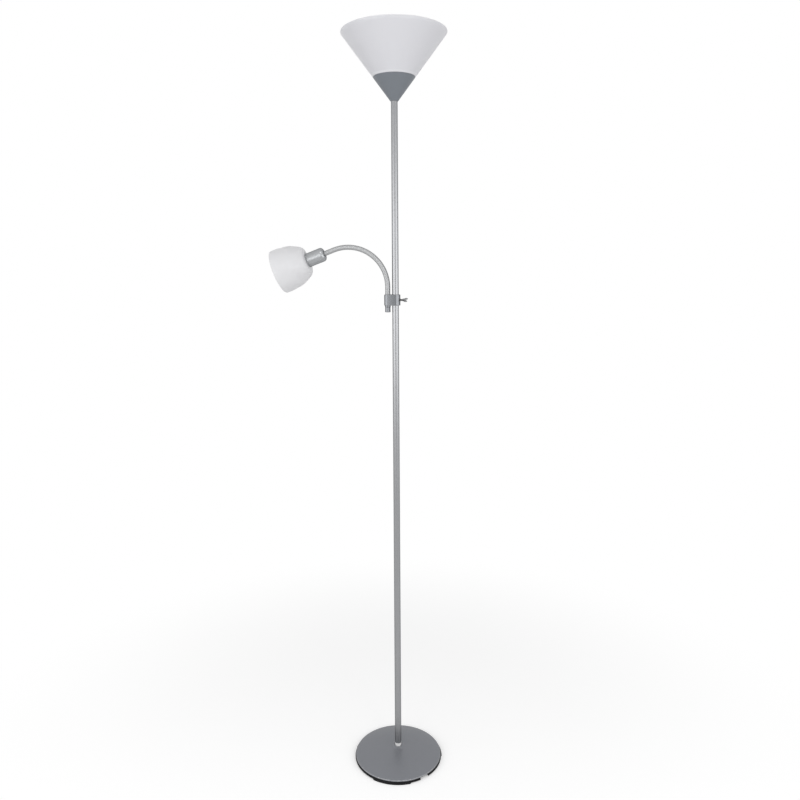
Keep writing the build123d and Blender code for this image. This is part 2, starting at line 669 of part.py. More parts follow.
# ---- Gooseneck ---------------------------------------------------------------------------------------
def neck_length(length, socket, ball):
    """One stretch of the gooseneck about Z, with a socket at its foot and a ball at its top."""
    bore = NECK_BORE_R
    edges = []
    if socket:
        lip_z = math.sqrt(SOCKET_R**2 - (NECK_R - SOCKET_LIP) ** 2)
        bore_z = math.sqrt(SOCKET_R**2 - bore**2)
        lip, throat = at(NECK_R - SOCKET_LIP, lip_z), at(bore, bore_z)
        half = math.atan2(lip_z, NECK_R - SOCKET_LIP) / 2 + math.atan2(bore_z, bore) / 2
        middle = at(SOCKET_R * math.cos(half), SOCKET_R * math.sin(half))
        foot = at(NECK_R, lip_z)
        edges += [Line(foot, lip), ThreePointArc(lip, middle, throat)]
    else:
        foot, throat = at(NECK_R, 0), at(bore, 0)
        edges += [Line(foot, throat)]
    shoulder = at(NECK_R, length)
    if ball:
        tip = at(bore, length + math.sqrt(NECK_R**2 - bore**2))
        half = math.acos(bore / NECK_R) / 2
        side = at(NECK_R * math.cos(half), length + NECK_R * math.sin(half))
        edges += [ThreePointArc(shoulder, side, tip)]
    else:
        tip = at(bore, length)
        edges += [Line(shoulder, tip)]
    edges += [Line(foot, shoulder), Line(tip, throat)]
    return turned_edges(edges)


def gooseneck_lengths():
    """The gooseneck's stretches, from the bracket to the reading head, by name."""
    first = neck_length(NECK_LOW_STRAIGHT + HALF_STEP, False, True)
    lengths = {"gooseneck_0": Pos(ARM_X, 0, BRACKET_TOP_Z) * first}
    for k in range(1, NECK_JOINTS):
        lengths[f"gooseneck_{k}"] = along_neck(neck_joint(k), k) * neck_length(2 * HALF_STEP, True, True)
    last = neck_length(HALF_STEP + NECK_HIGH_STRAIGHT, True, False)
    lengths[f"gooseneck_{NECK_JOINTS}"] = along_neck(neck_joint(NECK_JOINTS), NECK_JOINTS) * last
    return lengths


def end_fitting(spigot_from, spigot_to, stem_from, stem_to):
    """Hollow steel end of the gooseneck: a spigot inside it and a threaded stem outside it."""
    bore = LEAD_R
    spigot_r = NECK_BORE_R - THREAD_FIT
    spigot = tube(spigot_r, bore, min(spigot_from, spigot_to), max(spigot_from, spigot_to))
    stem = tube(THREAD_R, bore, min(stem_from, stem_to), max(stem_from, stem_to))
    return spigot + stem


def gooseneck_end_lower():
    """End fitting that goes down through the bracket."""
    return Pos(ARM_X, 0, BRACKET_TOP_Z) * end_fitting(0, END_SPIGOT, -END_STEM, 0)


def gooseneck_nut():
    """Long round nut under the bracket, open below for the reading light's lead."""
    low, high = TAIL_NUT_Z, TAIL_NUT_Z + TAIL_NUT_LENGTH
    nut = turned(
        (THREAD_HOLE_R, low),
        (TAIL_NUT_R - 0.6, low),
        (TAIL_NUT_R, low + 0.6),
        (TAIL_NUT_R, high),
        (THREAD_HOLE_R, high),
    )
    return Pos(ARM_X, 0, 0) * nut


# ---- Reading head, in its own frame -------------------------------------------------------------------
def reading_housing():
    """Silver cup behind the reading shade."""
    inner = HOUSING_R - HOUSING_WALL
    round_in = HOUSING_ROUND - HOUSING_WALL
    diagonal = math.sqrt(0.5)
    back, side = at(HOUSING_R - HOUSING_ROUND, 0), at(HOUSING_R, HOUSING_ROUND)
    corner = at(HOUSING_R - HOUSING_ROUND * (1 - diagonal), HOUSING_ROUND * (1 - diagonal))
    back_in, side_in = at(HOUSING_R - HOUSING_ROUND, HOUSING_WALL), at(inner, HOUSING_ROUND)
    corner_in = at(inner - round_in * (1 - diagonal), HOUSING_WALL + round_in * (1 - diagonal))
    edges = [
        Line(at(CLEAR_R, 0), back),
        ThreePointArc(back, corner, side),
        Line(side, at(HOUSING_R, HOUSING_LENGTH)),
        Line(at(HOUSING_R, HOUSING_LENGTH), at(inner, HOUSING_LENGTH)),
        Line(at(inner, HOUSING_LENGTH), side_in),
        ThreePointArc(side_in, corner_in, back_in),
        Line(back_in, at(CLEAR_R, HOUSING_WALL)),
        Line(at(CLEAR_R, HOUSING_WALL), at(CLEAR_R, 0)),
    ]
    return turned_edges(edges)


def reading_lampholder():
    """E14 lampholder inside the housing; its skirt passes through the bell's back."""
    low = SMALL_HOLDER_FROM
    top = low + SMALL_HOLDER_LENGTH
    bore_z = top - SMALL_BORE_DEPTH
    body = SMALL_HOLDER_R - SMALL_BODY_STEP
    return turned(
        (LEAD_R + 1, low),
        (SMALL_HOLDER_FOOT_R, low),
        (body, low + SMALL_HOLDER_FOOT_HEIGHT),
        (body, BELL_FROM - SMALL_SHOULDER),
        (SMALL_SHOULDER_R, BELL_FROM - SMALL_SHOULDER),
        (SMALL_SHOULDER_R, BELL_FROM),
        (SMALL_HOLDER_R, BELL_FROM),
        (SMALL_HOLDER_R, top),
        (E14_BORE_R, top),
        (E14_BORE_R, bore_z),
        (LEAD_R + 1, bore_z),
    )


def bell_line(inset):
    """Side line of the bell, moved in by inset, as one edge from its back to its rim."""

    def place(r, u, lean):
        return at(r * BELL_SCALE[0] - inset, BELL_FROM + u * BELL_SCALE[1] + lean * inset)

    back = at(BELL_BACK_R - inset, BELL_FROM + inset)
    shoulder = place(*BELL_SHOULDER, 0.35)
    flank = place(*BELL_FLANK, 0.2)
    side = place(*BELL_SIDE, 0.1)
    full = place(*BELL_FULL, 0)
    rim = at(BELL_RIM_R - inset, BELL_TO)
    return Spline(back, shoulder, flank, side, full, rim, tangents=[(1, 0, 0.05), (-0.05, 0, 1)])


def reading_shade():
    """Frosted bell clamped to the E14 lampholder, its rim rounded."""
    outer, inner = bell_line(0), bell_line(BELL_WALL)
    hole = SMALL_HOLDER_R + SLIP_FIT
    back, rim = outer @ 0, outer @ 1
    back_in, rim_in = inner @ 0, inner @ 1
    crest = (rim + rim_in) / 2 + Vector(0, 0, BELL_WALL / 2)
    edges = [
        outer,
        inner,
        ThreePointArc(rim, crest, rim_in),
        Line(back, at(hole, back.Z)),
        Line(at(hole, back.Z), at(hole, back_in.Z)),
        Line(at(hole, back_in.Z), back_in),
    ]
    return turned_edges(edges)


# ---- Write every piece -----------------------------------------------------------------------------------
def write_base():
    save("base_cover", base_cover())
    save("base_ring", base_ring())
    save("base_weight", base_weight())
    save("bottom_plate", bottom_plate())
    washer, lock_washer, nut = base_fasteners()
    save("base_washer", washer)
    save("base_lock_washer", lock_washer)
    save("base_nut", nut)
    thread_low = RECESS_TOP_Z - WASHER_THICKNESS - LOCK_WASHER_THICKNESS - NUT_HEIGHT - THREAD_SPARE
    save("foot_nipple", thread_tube(thread_low, POLE_FOOT_Z + INSERT_LENGTH - NIPPLE_SHORT))
    save("foot_collar", foot_collar())
    save("connector_block", connector_block())
    save("inner_lead", inner_lead())


def write_pole():
    for k, name in enumerate(POLE_NAMES):
        save(name, pole_section(k))
    save("pole_inserts", pole_inserts())
    save("pole_nipples", pole_nipples())


def write_torchiere_head():
    floor_top = POLE_TOP_Z + CAP_FLOOR
    ring_z = SHADE_SEAT_Z + SHADE_FLOOR
    nipple_low = POLE_TOP_Z - INSERT_LENGTH + NIPPLE_SHORT
    save("top_nipple", thread_tube(nipple_low, HOLDER_Z + HOLDER_THREAD - NIPPLE_SHORT))
    save("torchiere_cap", torchiere_cap())
    save("cap_nut", hex_nut(floor_top))
    save("torchiere_lampholder", torchiere_lampholder())
    save("torchiere_shade", torchiere_shade())
    save("torchiere_shade_ring", ring_nut(RING_NUT_R, HOLDER_R + THREAD_FIT, ring_z, RING_NUT_HEIGHT, 12))
    save("torchiere_bulb_cap", bulb_cap(BULB_Z, BULB_CAP_LENGTH, E27_CAP_R))
    save("torchiere_bulb", bulb_globe(BULB_Z, BULB_LENGTH, BULB_CAP_LENGTH, E27_CAP_R, BULB_R))


def write_bracket():
    save("bracket_liner", bracket_liner())
    save("bracket", bracket())
    save("clamp_insert", clamp_insert())
    save("clamp_pad", clamp_pad())
    save("wing_screw", wing_screw())
    save("gooseneck_end_lower", gooseneck_end_lower())
    save("gooseneck_nut", gooseneck_nut())


def write_reading_head():
    for name, length in gooseneck_lengths().items():
        save(name, length)
    head = head_frame()
    bulb_at = SMALL_HOLDER_FROM + SMALL_HOLDER_LENGTH - SMALL_BORE_DEPTH + SMALL_BULB_SEAT
    ring_at = BELL_FROM + BELL_WALL
    save("gooseneck_end_upper", head * end_fitting(-END_SPIGOT, 0, 0, HEAD_STEM))
    save("head_nut", head * hex_nut(HOUSING_WALL))
    save("reading_housing", head * reading_housing())
    save("reading_lampholder", head * reading_lampholder())
    save("reading_shade", head * reading_shade())
    ring = ring_nut(SMALL_RING_R, SMALL_HOLDER_R + THREAD_FIT, ring_at, SMALL_RING_HEIGHT, 10)
    save("reading_shade_ring", head * ring)
    save("reading_bulb_cap", head * bulb_cap(bulb_at, SMALL_BULB_CAP_LENGTH, E14_CAP_R))
    globe = bulb_globe(bulb_at, SMALL_BULB_LENGTH, SMALL_BULB_CAP_LENGTH, E14_CAP_R, SMALL_BULB_R)
    save("reading_bulb", head * globe)


write_base()
write_pole()
write_torchiere_head()
write_bracket()
write_reading_head()
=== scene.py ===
"""Looks of the torchiere floor lamp and its reading light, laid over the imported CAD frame.

Metres, in the CAD's own frame: the origin is on the pole's axis at the floor, +Z is up, and the
reading light reaches out along -X.
"""

import math

import bpy
import numpy as np
from bpy.props import FloatProperty, FloatVectorProperty, PointerProperty
from mathutils import Matrix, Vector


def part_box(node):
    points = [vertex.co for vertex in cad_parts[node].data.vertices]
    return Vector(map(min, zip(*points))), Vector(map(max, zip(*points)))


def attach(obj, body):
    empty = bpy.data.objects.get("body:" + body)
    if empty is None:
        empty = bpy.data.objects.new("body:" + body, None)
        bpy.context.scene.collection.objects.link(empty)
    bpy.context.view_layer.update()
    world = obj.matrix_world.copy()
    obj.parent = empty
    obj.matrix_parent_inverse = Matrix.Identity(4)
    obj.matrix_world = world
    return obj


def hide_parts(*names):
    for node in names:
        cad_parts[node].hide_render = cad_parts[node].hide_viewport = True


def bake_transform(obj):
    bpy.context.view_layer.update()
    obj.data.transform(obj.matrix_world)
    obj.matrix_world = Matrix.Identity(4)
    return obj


bl_info = {
    "name": "Torchiere floor lamp",
    "version": (1, 0, 0),
    "blender": (4, 5, 0),
    "location": "View3D > Sidebar > Floor lamp",
    "description": "Shapes and finishes of a floor lamp with a reading light",
    "category": "Add Mesh",
}

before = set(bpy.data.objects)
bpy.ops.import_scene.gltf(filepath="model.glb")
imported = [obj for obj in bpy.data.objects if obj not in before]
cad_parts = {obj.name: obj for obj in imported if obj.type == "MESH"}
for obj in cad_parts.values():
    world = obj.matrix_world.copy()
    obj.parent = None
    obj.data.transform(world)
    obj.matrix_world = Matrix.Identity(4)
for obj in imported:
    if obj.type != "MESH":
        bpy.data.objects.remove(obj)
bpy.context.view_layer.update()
LOW = {name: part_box(name)[0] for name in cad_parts}
HIGH = {name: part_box(name)[1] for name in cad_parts}
MM = 0.001
UP = (0.0, 0.0, 1.0)
ALONG_X = (1.0, 0.0, 0.0)
ALONG_Y = np.array([0.0, 1.0, 0.0])
SHARP_FROM = math.radians(50)  # edges sharper than this are shaded sharp

SLIP = 0.15 * MM  # between the pole and what is pushed over it
THREAD_BORE = 5.05 * MM  # radius that the hollow M10 thread screws into
THREAD_HOLE = 5.15 * MM  # radius that the hollow M10 thread passes through
LEAD_HOLE = 3.2 * MM  # radius of the lampholders' holes for their leads
EYE_BORE = 8.97 * MM  # radius of the bracket's bore, with the liner inside it
BLOCK_RISE = 4.5 * MM  # height of the cone under the clamp block

NOTCH_TURN = math.radians(-47)  # cord notch in the black ring
NOTCH_HALF = 12.0 * MM  # half of the notch's width
PAD_TURN = -92  # middle of the ring's front pad, in degrees
PAD_HALF = 25  # half of a pad's turn, in degrees
PAD_EVERY = 120  # from one pad to the next, in degrees

BELL_SEAT = 46.6 * MM  # from the gooseneck's end to the back of the bell
SHADE_RIM = 1.3 * MM  # height of the uplighter shade's round rim
RIM_LINE_AND_WEAR = 0.6  # how strongly the shades' rims take the edge tint, a painted darker rim line along with wear, where the edge of a corner is 1


# ---- Sizes and colours ---------------------------------------------------------------
def length(name, description, default):
    """Length property, in metres."""
    return FloatProperty(
        name=name, description=description, default=default, unit="LENGTH", subtype="DISTANCE", precision=4
    )


def angle(name, description, degrees):
    """Angle property, from its degrees."""
    return FloatProperty(name=name, description=description, default=math.radians(degrees), subtype="ANGLE")


def amount(name, description, default):
    """Number property that isn't below 0."""
    return FloatProperty(name=name, description=description, default=default, min=0.0)


def colour(name, description, srgb):
    """Colour property from an sRGB triple of 0 to 255.

    Each channel c becomes ((c / 255 + 0.055) / 1.055) ** 2.4.
    """
    linear = [((c / 255 + 0.055) / 1.055) ** 2.4 for c in srgb]
    return FloatVectorProperty(
        name=name, description=description, default=linear, subtype="COLOR", size=3, min=0.0, max=1.0
    )


class LampSizes(bpy.types.PropertyGroup):
    """Sizes of the pieces that are worked out here"""

    base_radius: length("Base radius", "Rolled rim of the base cover", HIGH["base_cover"].x)
    base_wall: length("Cover wall", "Sheet thickness of the base cover", 1.2 * MM)
    base_bulge: length("Cover bulge", "How far the dome rises above a straight cone", 4.0 * MM)
    pole_radius: length("Pole radius", "Outside of the pole", HIGH["pole_lower"].x)
    pole_wall: length("Pole wall", "Wall of the pole's tubes", 0.8 * MM)
    cap_wall: length("Cap wall", "Wall of the grey cone, measured level", 2.4 * MM)
    shade_wall: length("Shade wall", "Wall of the uplighter shade, measured level", 2.6 * MM)
    bulb_radius: length("Bulb radius", "Globe of the uplighter's bulb", HIGH["torchiere_bulb"].x)
    eye_radius: length("Pole eye radius", "Bracket round the pole", 11.9 * MM)
    arm_eye_radius: length("Arm eye radius", "Bracket round the gooseneck's end", 8.1 * MM)
    neck_radius: length("Gooseneck radius", "Outside of the gooseneck", 6.25 * MM)
    neck_pitch: length("Winding pitch", "Distance from one turn of the gooseneck to the next", 1.9 * MM)
    neck_groove: length("Winding groove", "Depth of the groove between two turns", 0.20 * MM)
    neck_bend_radius: length("Bend radius", "Radius of the gooseneck's curve", 98.0 * MM)
    neck_bend: angle("Bend", "From straight up to the reading head's axis", 111.0)
    housing_radius: length("Housing radius", "Silver cup behind the bell", 17.5 * MM)
    bell_radius: length("Bell radius", "Rim of the frosted bell", 55.0 * MM)
    bell_wall: length("Bell wall", "Wall of the frosted bell", 2.2 * MM)


class LampFinishes(bpy.types.PropertyGroup):
    """Colours of the finishes, and how strong their grain and wear are"""

    silver: colour("Silver lacquer", "Pole and housing", (152, 153, 155))
    housing_silver: colour("Housing silver", "Housing behind the bell", (165, 167, 169))
    steel: colour("Gooseneck steel", "Winding of the gooseneck", (167, 168, 169))
    cap_grey: colour("Cap grey", "Cone under the uplighter shade", (119, 124, 130))
    base_grey: colour("Base grey", "Dome of the base", (126, 128, 133))
    bracket_grey: colour("Bracket grey", "Clamp block and long nut", (120, 122, 125))
    frosted: colour("Frosted plastic", "Uplighter shade", (214, 214, 218))
    frosted_bell: colour("Frosted bell", "Reading shade", (219, 219, 221))
    black: colour("Black plastic", "Ring that the lamp stands on", (17, 17, 19))
    bright: colour("Bright metal", "Foot collar and threads", (200, 200, 201))
    white_plastic: colour("Lampholder white", "Lampholders and shade rings", (226, 226, 222))
    grain: amount("Grain", "Strength of the fine grain in every finish", 1.0)
    wear_and_rim_lines: amount("Wear", "Strength of the rubbed edges and painted rim lines", 1.0)


class LampStage(bpy.types.PropertyGroup):
    """Camera, light and floor"""

    azimuth: angle("Azimuth", "Camera's turn round the pole", 7.0)
    pitch: angle("Pitch", "How far the camera looks down", 4.0107)
    roll: angle("Roll", "Camera's turn about its own axis", -0.35182)
    distance: length("Distance", "Camera to the pole's axis", 1.78795)
    height: length("Height", "Camera above the floor", 1.24817)
    lens: amount("Lens", "Focal length in millimetres on a 36 mm sensor", 32.974)
    shift_x: FloatProperty(name="Shift X", description="Framing, as a share of the picture", default=0.00552)
    shift_y: FloatProperty(name="Shift Y", description="Framing, as a share of the picture", default=-0.10515)
    sky: amount("Sky", "Light from all round", 0.54)
    box_power: amount("Softbox power", "Watts of each wide softbox", 20.0)
    box_width: length("Softbox width", "Each softbox, across", 3.0)
    box_height: length("Softbox height", "Each softbox, from foot to top", 1.2)
    box_turn: angle("Softbox turn", "Each softbox, to the side of the camera", 50.0)
    top_power: amount("Top softbox power", "Watts of the softbox above the camera", 8.5)
    top_rise: angle("Top softbox rise", "How far above level the top softbox stands", 50.0)
    floor: colour("Floor", "Pale floor", (238, 238, 238))
    lift: amount("Floor lift", "Makes the floor read as white to the camera", 0.28)


# ---- Outlines ------------------------------------------------------------------------
def rounded(corners, cuts, steps=6):
    """Closed outline with rounded corners, and how far each point is into a corner, 0 to 1.

    From a cut before the corner to a cut after it runs (1-t)^2 start + 2t(1-t) corner + t^2 end,
    with one more point on each side just outside that curve. A cut of 0 keeps one point.
    """
    corners = np.asarray(corners, float)
    cuts = np.asarray(cuts, float)[:, None, None]
    before = np.roll(corners, 1, 0) - corners
    after = np.roll(corners, -1, 0) - corners
    before = (before / np.linalg.norm(before, axis=1, keepdims=True))[:, None]
    after = (after / np.linalg.norm(after, axis=1, keepdims=True))[:, None]
    t = np.concatenate([[-0.3], np.linspace(0, 1, steps), [1.3]])[None, :, None]
    s = np.clip(t, 0, 1)
    start, end = corners[:, None] + before * cuts, corners[:, None] + after * cuts
    line = (1 - s) ** 2 * start + 2 * s * (1 - s) * corners[:, None] + s**2 * end
    line = line + np.maximum(-t, 0) * before * cuts + np.maximum(t - 1, 0) * after * cuts
    into = np.broadcast_to(4 * s * (1 - s), (len(corners), t.size, 1))[..., 0]
    keep = np.broadcast_to(cuts[..., 0] > 0, into.shape).copy()
    keep[:, 1] = True
    into = np.where(cuts[..., 0] > 0, into, 0.0)
    return line[keep], into[keep]


def softened(corners, cuts, steps=6):
    """The rounded outline where few corners are cut: the cuts are in millimetres, by corner number."""
    every_cut = np.zeros(len(corners))
    every_cut[list(cuts)] = np.array(list(cuts.values())) * MM
    return rounded(corners, every_cut, steps)


def arc(first, by, last, count):
    """Points on the circle through three points, at even angles from the first to the last."""
    a, b, c = (complex(*p) for p in (first, by, last))
    w = (c - a) / (b - a)
    centre = a - (a - b) * (w - abs(w) ** 2) / (2j * w.imag)
    turn = np.angle((c - centre) / (a - centre))
    points = centre + (a - centre) * np.exp(1j * np.linspace(0, turn, count))
    return np.stack([points.real, points.imag], 1)


def upright(r, u):
    """Points of an outline at one radius and several heights."""
    return np.stack([np.full_like(u, r), u], 1)


def through(points, first, last, count):
    """Smooth line through points with given end directions.

    Over chord length it is one cubic between each two points, with the slopes at the points
    solved so that the second derivatives of neighbouring cubics agree.
    """
    p = np.asarray(points, float)
    h = np.linalg.norm(np.diff(p, axis=0), axis=1)
    knots = np.concatenate([[0], np.cumsum(h)])
    n = len(p)
    matrix, right = np.eye(n), np.zeros((n, 2))
    right[0], right[-1] = first, last
    i = np.arange(1, n - 1)
    matrix[i, i - 1], matrix[i, i], matrix[i, i + 1] = 1 / h[:-1], 2 / h[:-1] + 2 / h[1:], 1 / h[1:]
    steps = np.diff(p, axis=0) / h[:, None] ** 2
    right[1:-1] = 3 * (steps[:-1] + steps[1:])
    slope = np.linalg.solve(matrix, right)
    at = np.linspace(0, knots[-1], count)
    k = np.clip(np.searchsorted(knots, at, side="right") - 1, 0, n - 2)
    width = h[k][:, None]
    t = ((at - knots[k]) / h[k])[:, None]
    return (
        (2 * t**3 - 3 * t**2 + 1) * p[k]
        + (t**3 - 2 * t**2 + t) * width * slope[k]
        + (3 * t**2 - 2 * t**3) * p[k + 1]
        + (t**3 - t**2) * width * slope[k + 1]
    )


# ---- Surfaces ------------------------------------------------------------------------
def shell(points, into, rows_meet=True, ends="pole"):
    """Grid of points as a closed surface: its points, faces and edge values.

    Rows run along a section and columns round it, and the last column meets the first. Where the
    rows don't meet, the first and last row end in a pole, a single point, or in a flat face.
    """
    rows, columns = points.shape[:2]
    into = np.asarray(into, float)
    into = np.broadcast_to(into[:, None] if into.ndim == 1 else into, (rows, columns))
    ids = np.arange(rows * columns).reshape(rows, columns)
    points, into = points.reshape(-1, 3), into.reshape(-1)
    faces = []
    if not rows_meet and ends == "pole":
        ids = np.clip(ids - (columns - 1), 0, (rows - 2) * columns + 1)
        points = np.concatenate([points[:1], points[columns:-columns], points[-1:]])
        into = np.concatenate([into[:1], into[columns:-columns], into[-1:]])
    ids = np.concatenate([ids, ids[:, :1]], 1)
    if rows_meet:
        ids = np.concatenate([ids, ids[:1]], 0)
    quads = np.stack([ids[:-1, :-1], ids[:-1, 1:], ids[1:, 1:], ids[1:, :-1]], -1)
    if not rows_meet and ends == "pole":
        faces += quads[0][:, [0, 2, 3]].tolist() + quads[-1][:, [0, 1, 2]].tolist()
        quads = quads[1:-1]
    elif not rows_meet:
        faces += [ids[0, :-1][::-1].tolist(), ids[-1, :-1].tolist()]
    faces += quads.reshape(-1, 4).tolist()
    return points, faces, into


def turned(outline, into, origin=(0, 0, 0), axis=UP, columns=128, ridge=None, closed=True):
    """Surface of revolution: origin + u axis + (r + ridge) (cos a side + sin a Y).

    The outline holds (r, u) anticlockwise. The side direction is Y x axis, and the ridge, if there
    is one, is a function of u and the angle a.
    """
    outline = np.asarray(outline, float)
    axis = np.asarray(axis, float)
    side = np.cross(ALONG_Y, axis)
    a = np.linspace(0, 2 * np.pi, columns, endpoint=False)[None, :, None]
    r, u = outline[:, 0][:, None, None], outline[:, 1][:, None, None]
    if ridge is not None:
        r = r + ridge(r, u, a)
    points = np.asarray(origin, float) + u * axis + r * (np.cos(a) * side + np.sin(a) * ALONG_Y)
    return shell(points, into, rows_meet=closed)


def thread(low, high, radius, pitch, depth):
    """Screw thread on the outside of a turned piece, cut where the outline is at the radius.

    The groove is -depth * run * (1 + cos(2 pi u / pitch - a)) / 2. The run rises from 0 to 1 over the
    thread's span and falls again: (u - low) / pitch and (high - u) / pitch, each held to 0 to 1.
    """

    def ridge(r, u, a):
        run = np.clip((u - low) / pitch, 0, 1) * np.clip((high - u) / pitch, 0, 1)
        on = (np.abs(r - radius) < 1e-6) * run
        return -depth * on * (0.5 + 0.5 * np.cos(2 * np.pi * u / pitch - a))

    return ridge


def build(name, shells, body, nodes, material, bend=None):
    """One object from several surfaces, smooth, riding on its body in place of its CAD nodes.

    A piece given a bend has no body of its own and is baked where it stands. Its bend holds two bodies, and
    where it starts and ends; only whether a bend is given is used here.
    """
    starts = np.cumsum([0] + [len(points) for points, _, _ in shells])
    faces = [
        [start + corner for corner in face]
        for start, (_, its_faces, _) in zip(starts, shells)
        for face in its_faces
    ]
    mesh = bpy.data.meshes.new(name)
    mesh.from_pydata(np.concatenate([points for points, _, _ in shells]), [], faces)
    mesh.polygons.foreach_set("use_smooth", np.ones(len(faces), bool))
    mesh.set_sharp_from_angle(angle=SHARP_FROM)
    worn = np.concatenate([into for _, _, into in shells]).astype(np.float32)
    mesh.attributes.new("edge", "FLOAT", "POINT").data.foreach_set("value", worn)
    mesh.materials.append(material)
    mesh.update()
    piece = bpy.data.objects.new(name, mesh)
    bpy.context.scene.collection.objects.link(piece)
    if body:
        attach(piece, body)
    if bend:
        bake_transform(piece)
    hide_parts(*nodes)
    return piece


def dress(material, *nodes):
    """Gives CAD nodes a finish through their material slots."""
    for name in nodes:
        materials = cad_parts[name].data.materials
        materials.clear()
        materials.append(material)


# ---- Shader node groups --------------------------------------------------------------
def add(tree, kind, links=None, **settings):
    """A node with its settings, and its inputs set or linked by name or number."""
    node = tree.nodes.new(kind)
    for key, value in settings.items():
        setattr(node, key, value)
    for key, value in (links or {}).items():
        if isinstance(value, bpy.types.NodeSocket):
            tree.links.new(value, node.inputs[key])
        else:
            node.inputs[key].default_value = value
    return node


def maths(tree, operation, *values, clamp=False):
    """One sum: the values are numbers or other nodes' outputs."""
    node = add(tree, "ShaderNodeMath", dict(enumerate(values)), operation=operation, use_clamp=clamp)
    return node.outputs[0]


def place_on(tree):
    """Where a point is on its piece."""
    return add(tree, "ShaderNodeTexCoord").outputs["Object"]


def noise(tree, place, scale, detail):
    """Soft noise of 0 to 1."""
    return add(tree, "ShaderNodeTexNoise", {"Vector": place, "Scale": scale, "Detail": detail}).outputs[0]


def swing(tree, value, share):
    """A tone about 1: 1 + 2 * share * (value - 0.5)."""
    change = maths(tree, "MULTIPLY", maths(tree, "SUBTRACT", value, 0.5), share)
    return maths(tree, "ADD", maths(tree, "MULTIPLY", change, 2.0), 1.0)


def spread(tree, value, low, high, to_low, to_high):
    """Value mapped from one range to another, clamped, with soft ends."""
    links = {"Value": value, "From Min": low, "From Max": high, "To Min": to_low, "To Max": to_high}
    return add(tree, "ShaderNodeMapRange", links, interpolation_type="SMOOTHSTEP").outputs[0]


def blended(tree, factor, a, b):
    """Colour a, going over to colour b as the factor goes from 0 to 1."""
    node = tree.nodes.new("ShaderNodeMix")
    node.data_type = "RGBA"
    for key, value in (("Factor", factor), ("A", a), ("B", b)):
        socket = [s for s in node.inputs if s.name == key and s.enabled][0]
        if isinstance(value, bpy.types.NodeSocket):
            tree.links.new(value, socket)
        else:
            socket.default_value = value
    return [s for s in node.outputs if s.enabled][0]


def scaled(tree, colour_value, factor):
    """A colour times a changing number."""
    node = tree.nodes.new("ShaderNodeVectorMath")
    node.operation = "SCALE"
    node.inputs[0].default_value = colour_value[:3]
    tree.links.new(factor, node.inputs["Scale"])
    return node.outputs[0]


def new_group(name, inputs, outputs):
    """An empty node group, the outputs of its input node and the inputs of its output node."""
    group = bpy.data.node_groups.new(name, "ShaderNodeTree")
    for label, default in inputs:
        socket = group.interface.new_socket(label, in_out="INPUT", socket_type="NodeSocketFloat")
        socket.default_value = default
    for label in outputs:
        group.interface.new_socket(label, in_out="OUTPUT", socket_type="NodeSocketFloat")
    return group, group.nodes.new("NodeGroupInput").outputs, group.nodes.new("NodeGroupOutput").inputs


def grain_group():
    """Fine grain of a moulded or sprayed surface: two sizes of noise, as a tone near 1 and a height."""
    group, given, put = new_group("fine grain", [("Scale", 900.0), ("Tone", 0.04)], ["Tone", "Height"])
    place = place_on(group)
    fine = noise(group, place, given["Scale"], 3.0)
    broad = noise(group, place, maths(group, "MULTIPLY", given["Scale"], 0.04), 2.0)
    mixed = maths(group, "ADD", maths(group, "MULTIPLY", fine, 0.6), maths(group, "MULTIPLY", broad, 0.4))
    group.links.new(swing(group, mixed, given["Tone"]), put["Tone"])
    group.links.new(fine, put["Height"])
    return group


def flake_group():
    """Metal flakes in a silver lacquer: tiny cells, each a little lighter or darker than the next."""
    group, given, put = new_group("lacquer flakes", [("Scale", 3500.0), ("Tone", 0.1)], ["Tone"])
    cells = add(group, "ShaderNodeTexVoronoi", {"Vector": place_on(group), "Scale": given["Scale"]})
    level = add(group, "ShaderNodeSeparateColor", {0: cells.outputs["Color"]}).outputs[0]
    group.links.new(swing(group, level, given["Tone"]), put["Tone"])
    return group


def handling_group():
    """Traces of handling: broad cloudy patches, crossed by a few fine scratches, as a roughness change."""
    group, given, put = new_group("handling", [("Scale", 25.0), ("Amount", 0.06)], ["Change", "Scratches"])
    place = place_on(group)
    cloud = noise(group, place, given["Scale"], 4.0)
    across = {"Vector": place, "Rotation": (0.5, 0.3, 0.9), "Scale": (1400.0, 60.0, 60.0)}
    lines = noise(group, add(group, "ShaderNodeMapping", across).outputs[0], 1.0, 1.0)
    scratches = spread(group, lines, 0.70, 0.76, 0.0, 1.0)
    patches = maths(group, "MULTIPLY", maths(group, "SUBTRACT", cloud, 0.5), 2.0)
    whole = maths(group, "ADD", patches, maths(group, "MULTIPLY", scratches, 1.5))
    group.links.new(maths(group, "MULTIPLY", whole, given["Amount"]), put["Change"])
    group.links.new(scratches, put["Scratches"])
    return group


def rub_and_rim_line_group():
    """Rubbed edges, and on the shades and the base cover a painted rim line of shade or highlight: the mesh's
    own edge value, broken up by noise.
    """
    group, given, put = new_group("rubbed edges and painted rim lines", [("Amount", 0.5), ("Scale", 300.0)], ["Mask"])
    edge = add(group, "ShaderNodeAttribute", attribute_name="edge").outputs["Fac"]
    broken = spread(group, noise(group, place_on(group), given["Scale"], 4.0), 0.42, 0.66, 0.15, 1.0)
    worn = maths(group, "MULTIPLY", edge, broken)
    group.links.new(maths(group, "MULTIPLY", worn, given["Amount"]), put["Mask"])
    return group


def use(tree, group, **values):
    """An instance of a node group with its own values."""
    node = add(tree, "ShaderNodeGroup", node_tree=group)
    for key, value in values.items():
        node.inputs[key].default_value = value
    return node.outputs


# ---- Materials -----------------------------------------------------------------------
class Kit:
    """The node groups and materials, made once."""

    made = {}

    @classmethod
    def group(cls, maker):
        """The group that a function makes, made at its first use."""
        if maker.__name__ not in cls.made:
            cls.made[maker.__name__] = maker()
        return cls.made[maker.__name__]


def plain(values):
    """A colour with its fourth number."""
    return (*values[:3], 1.0)


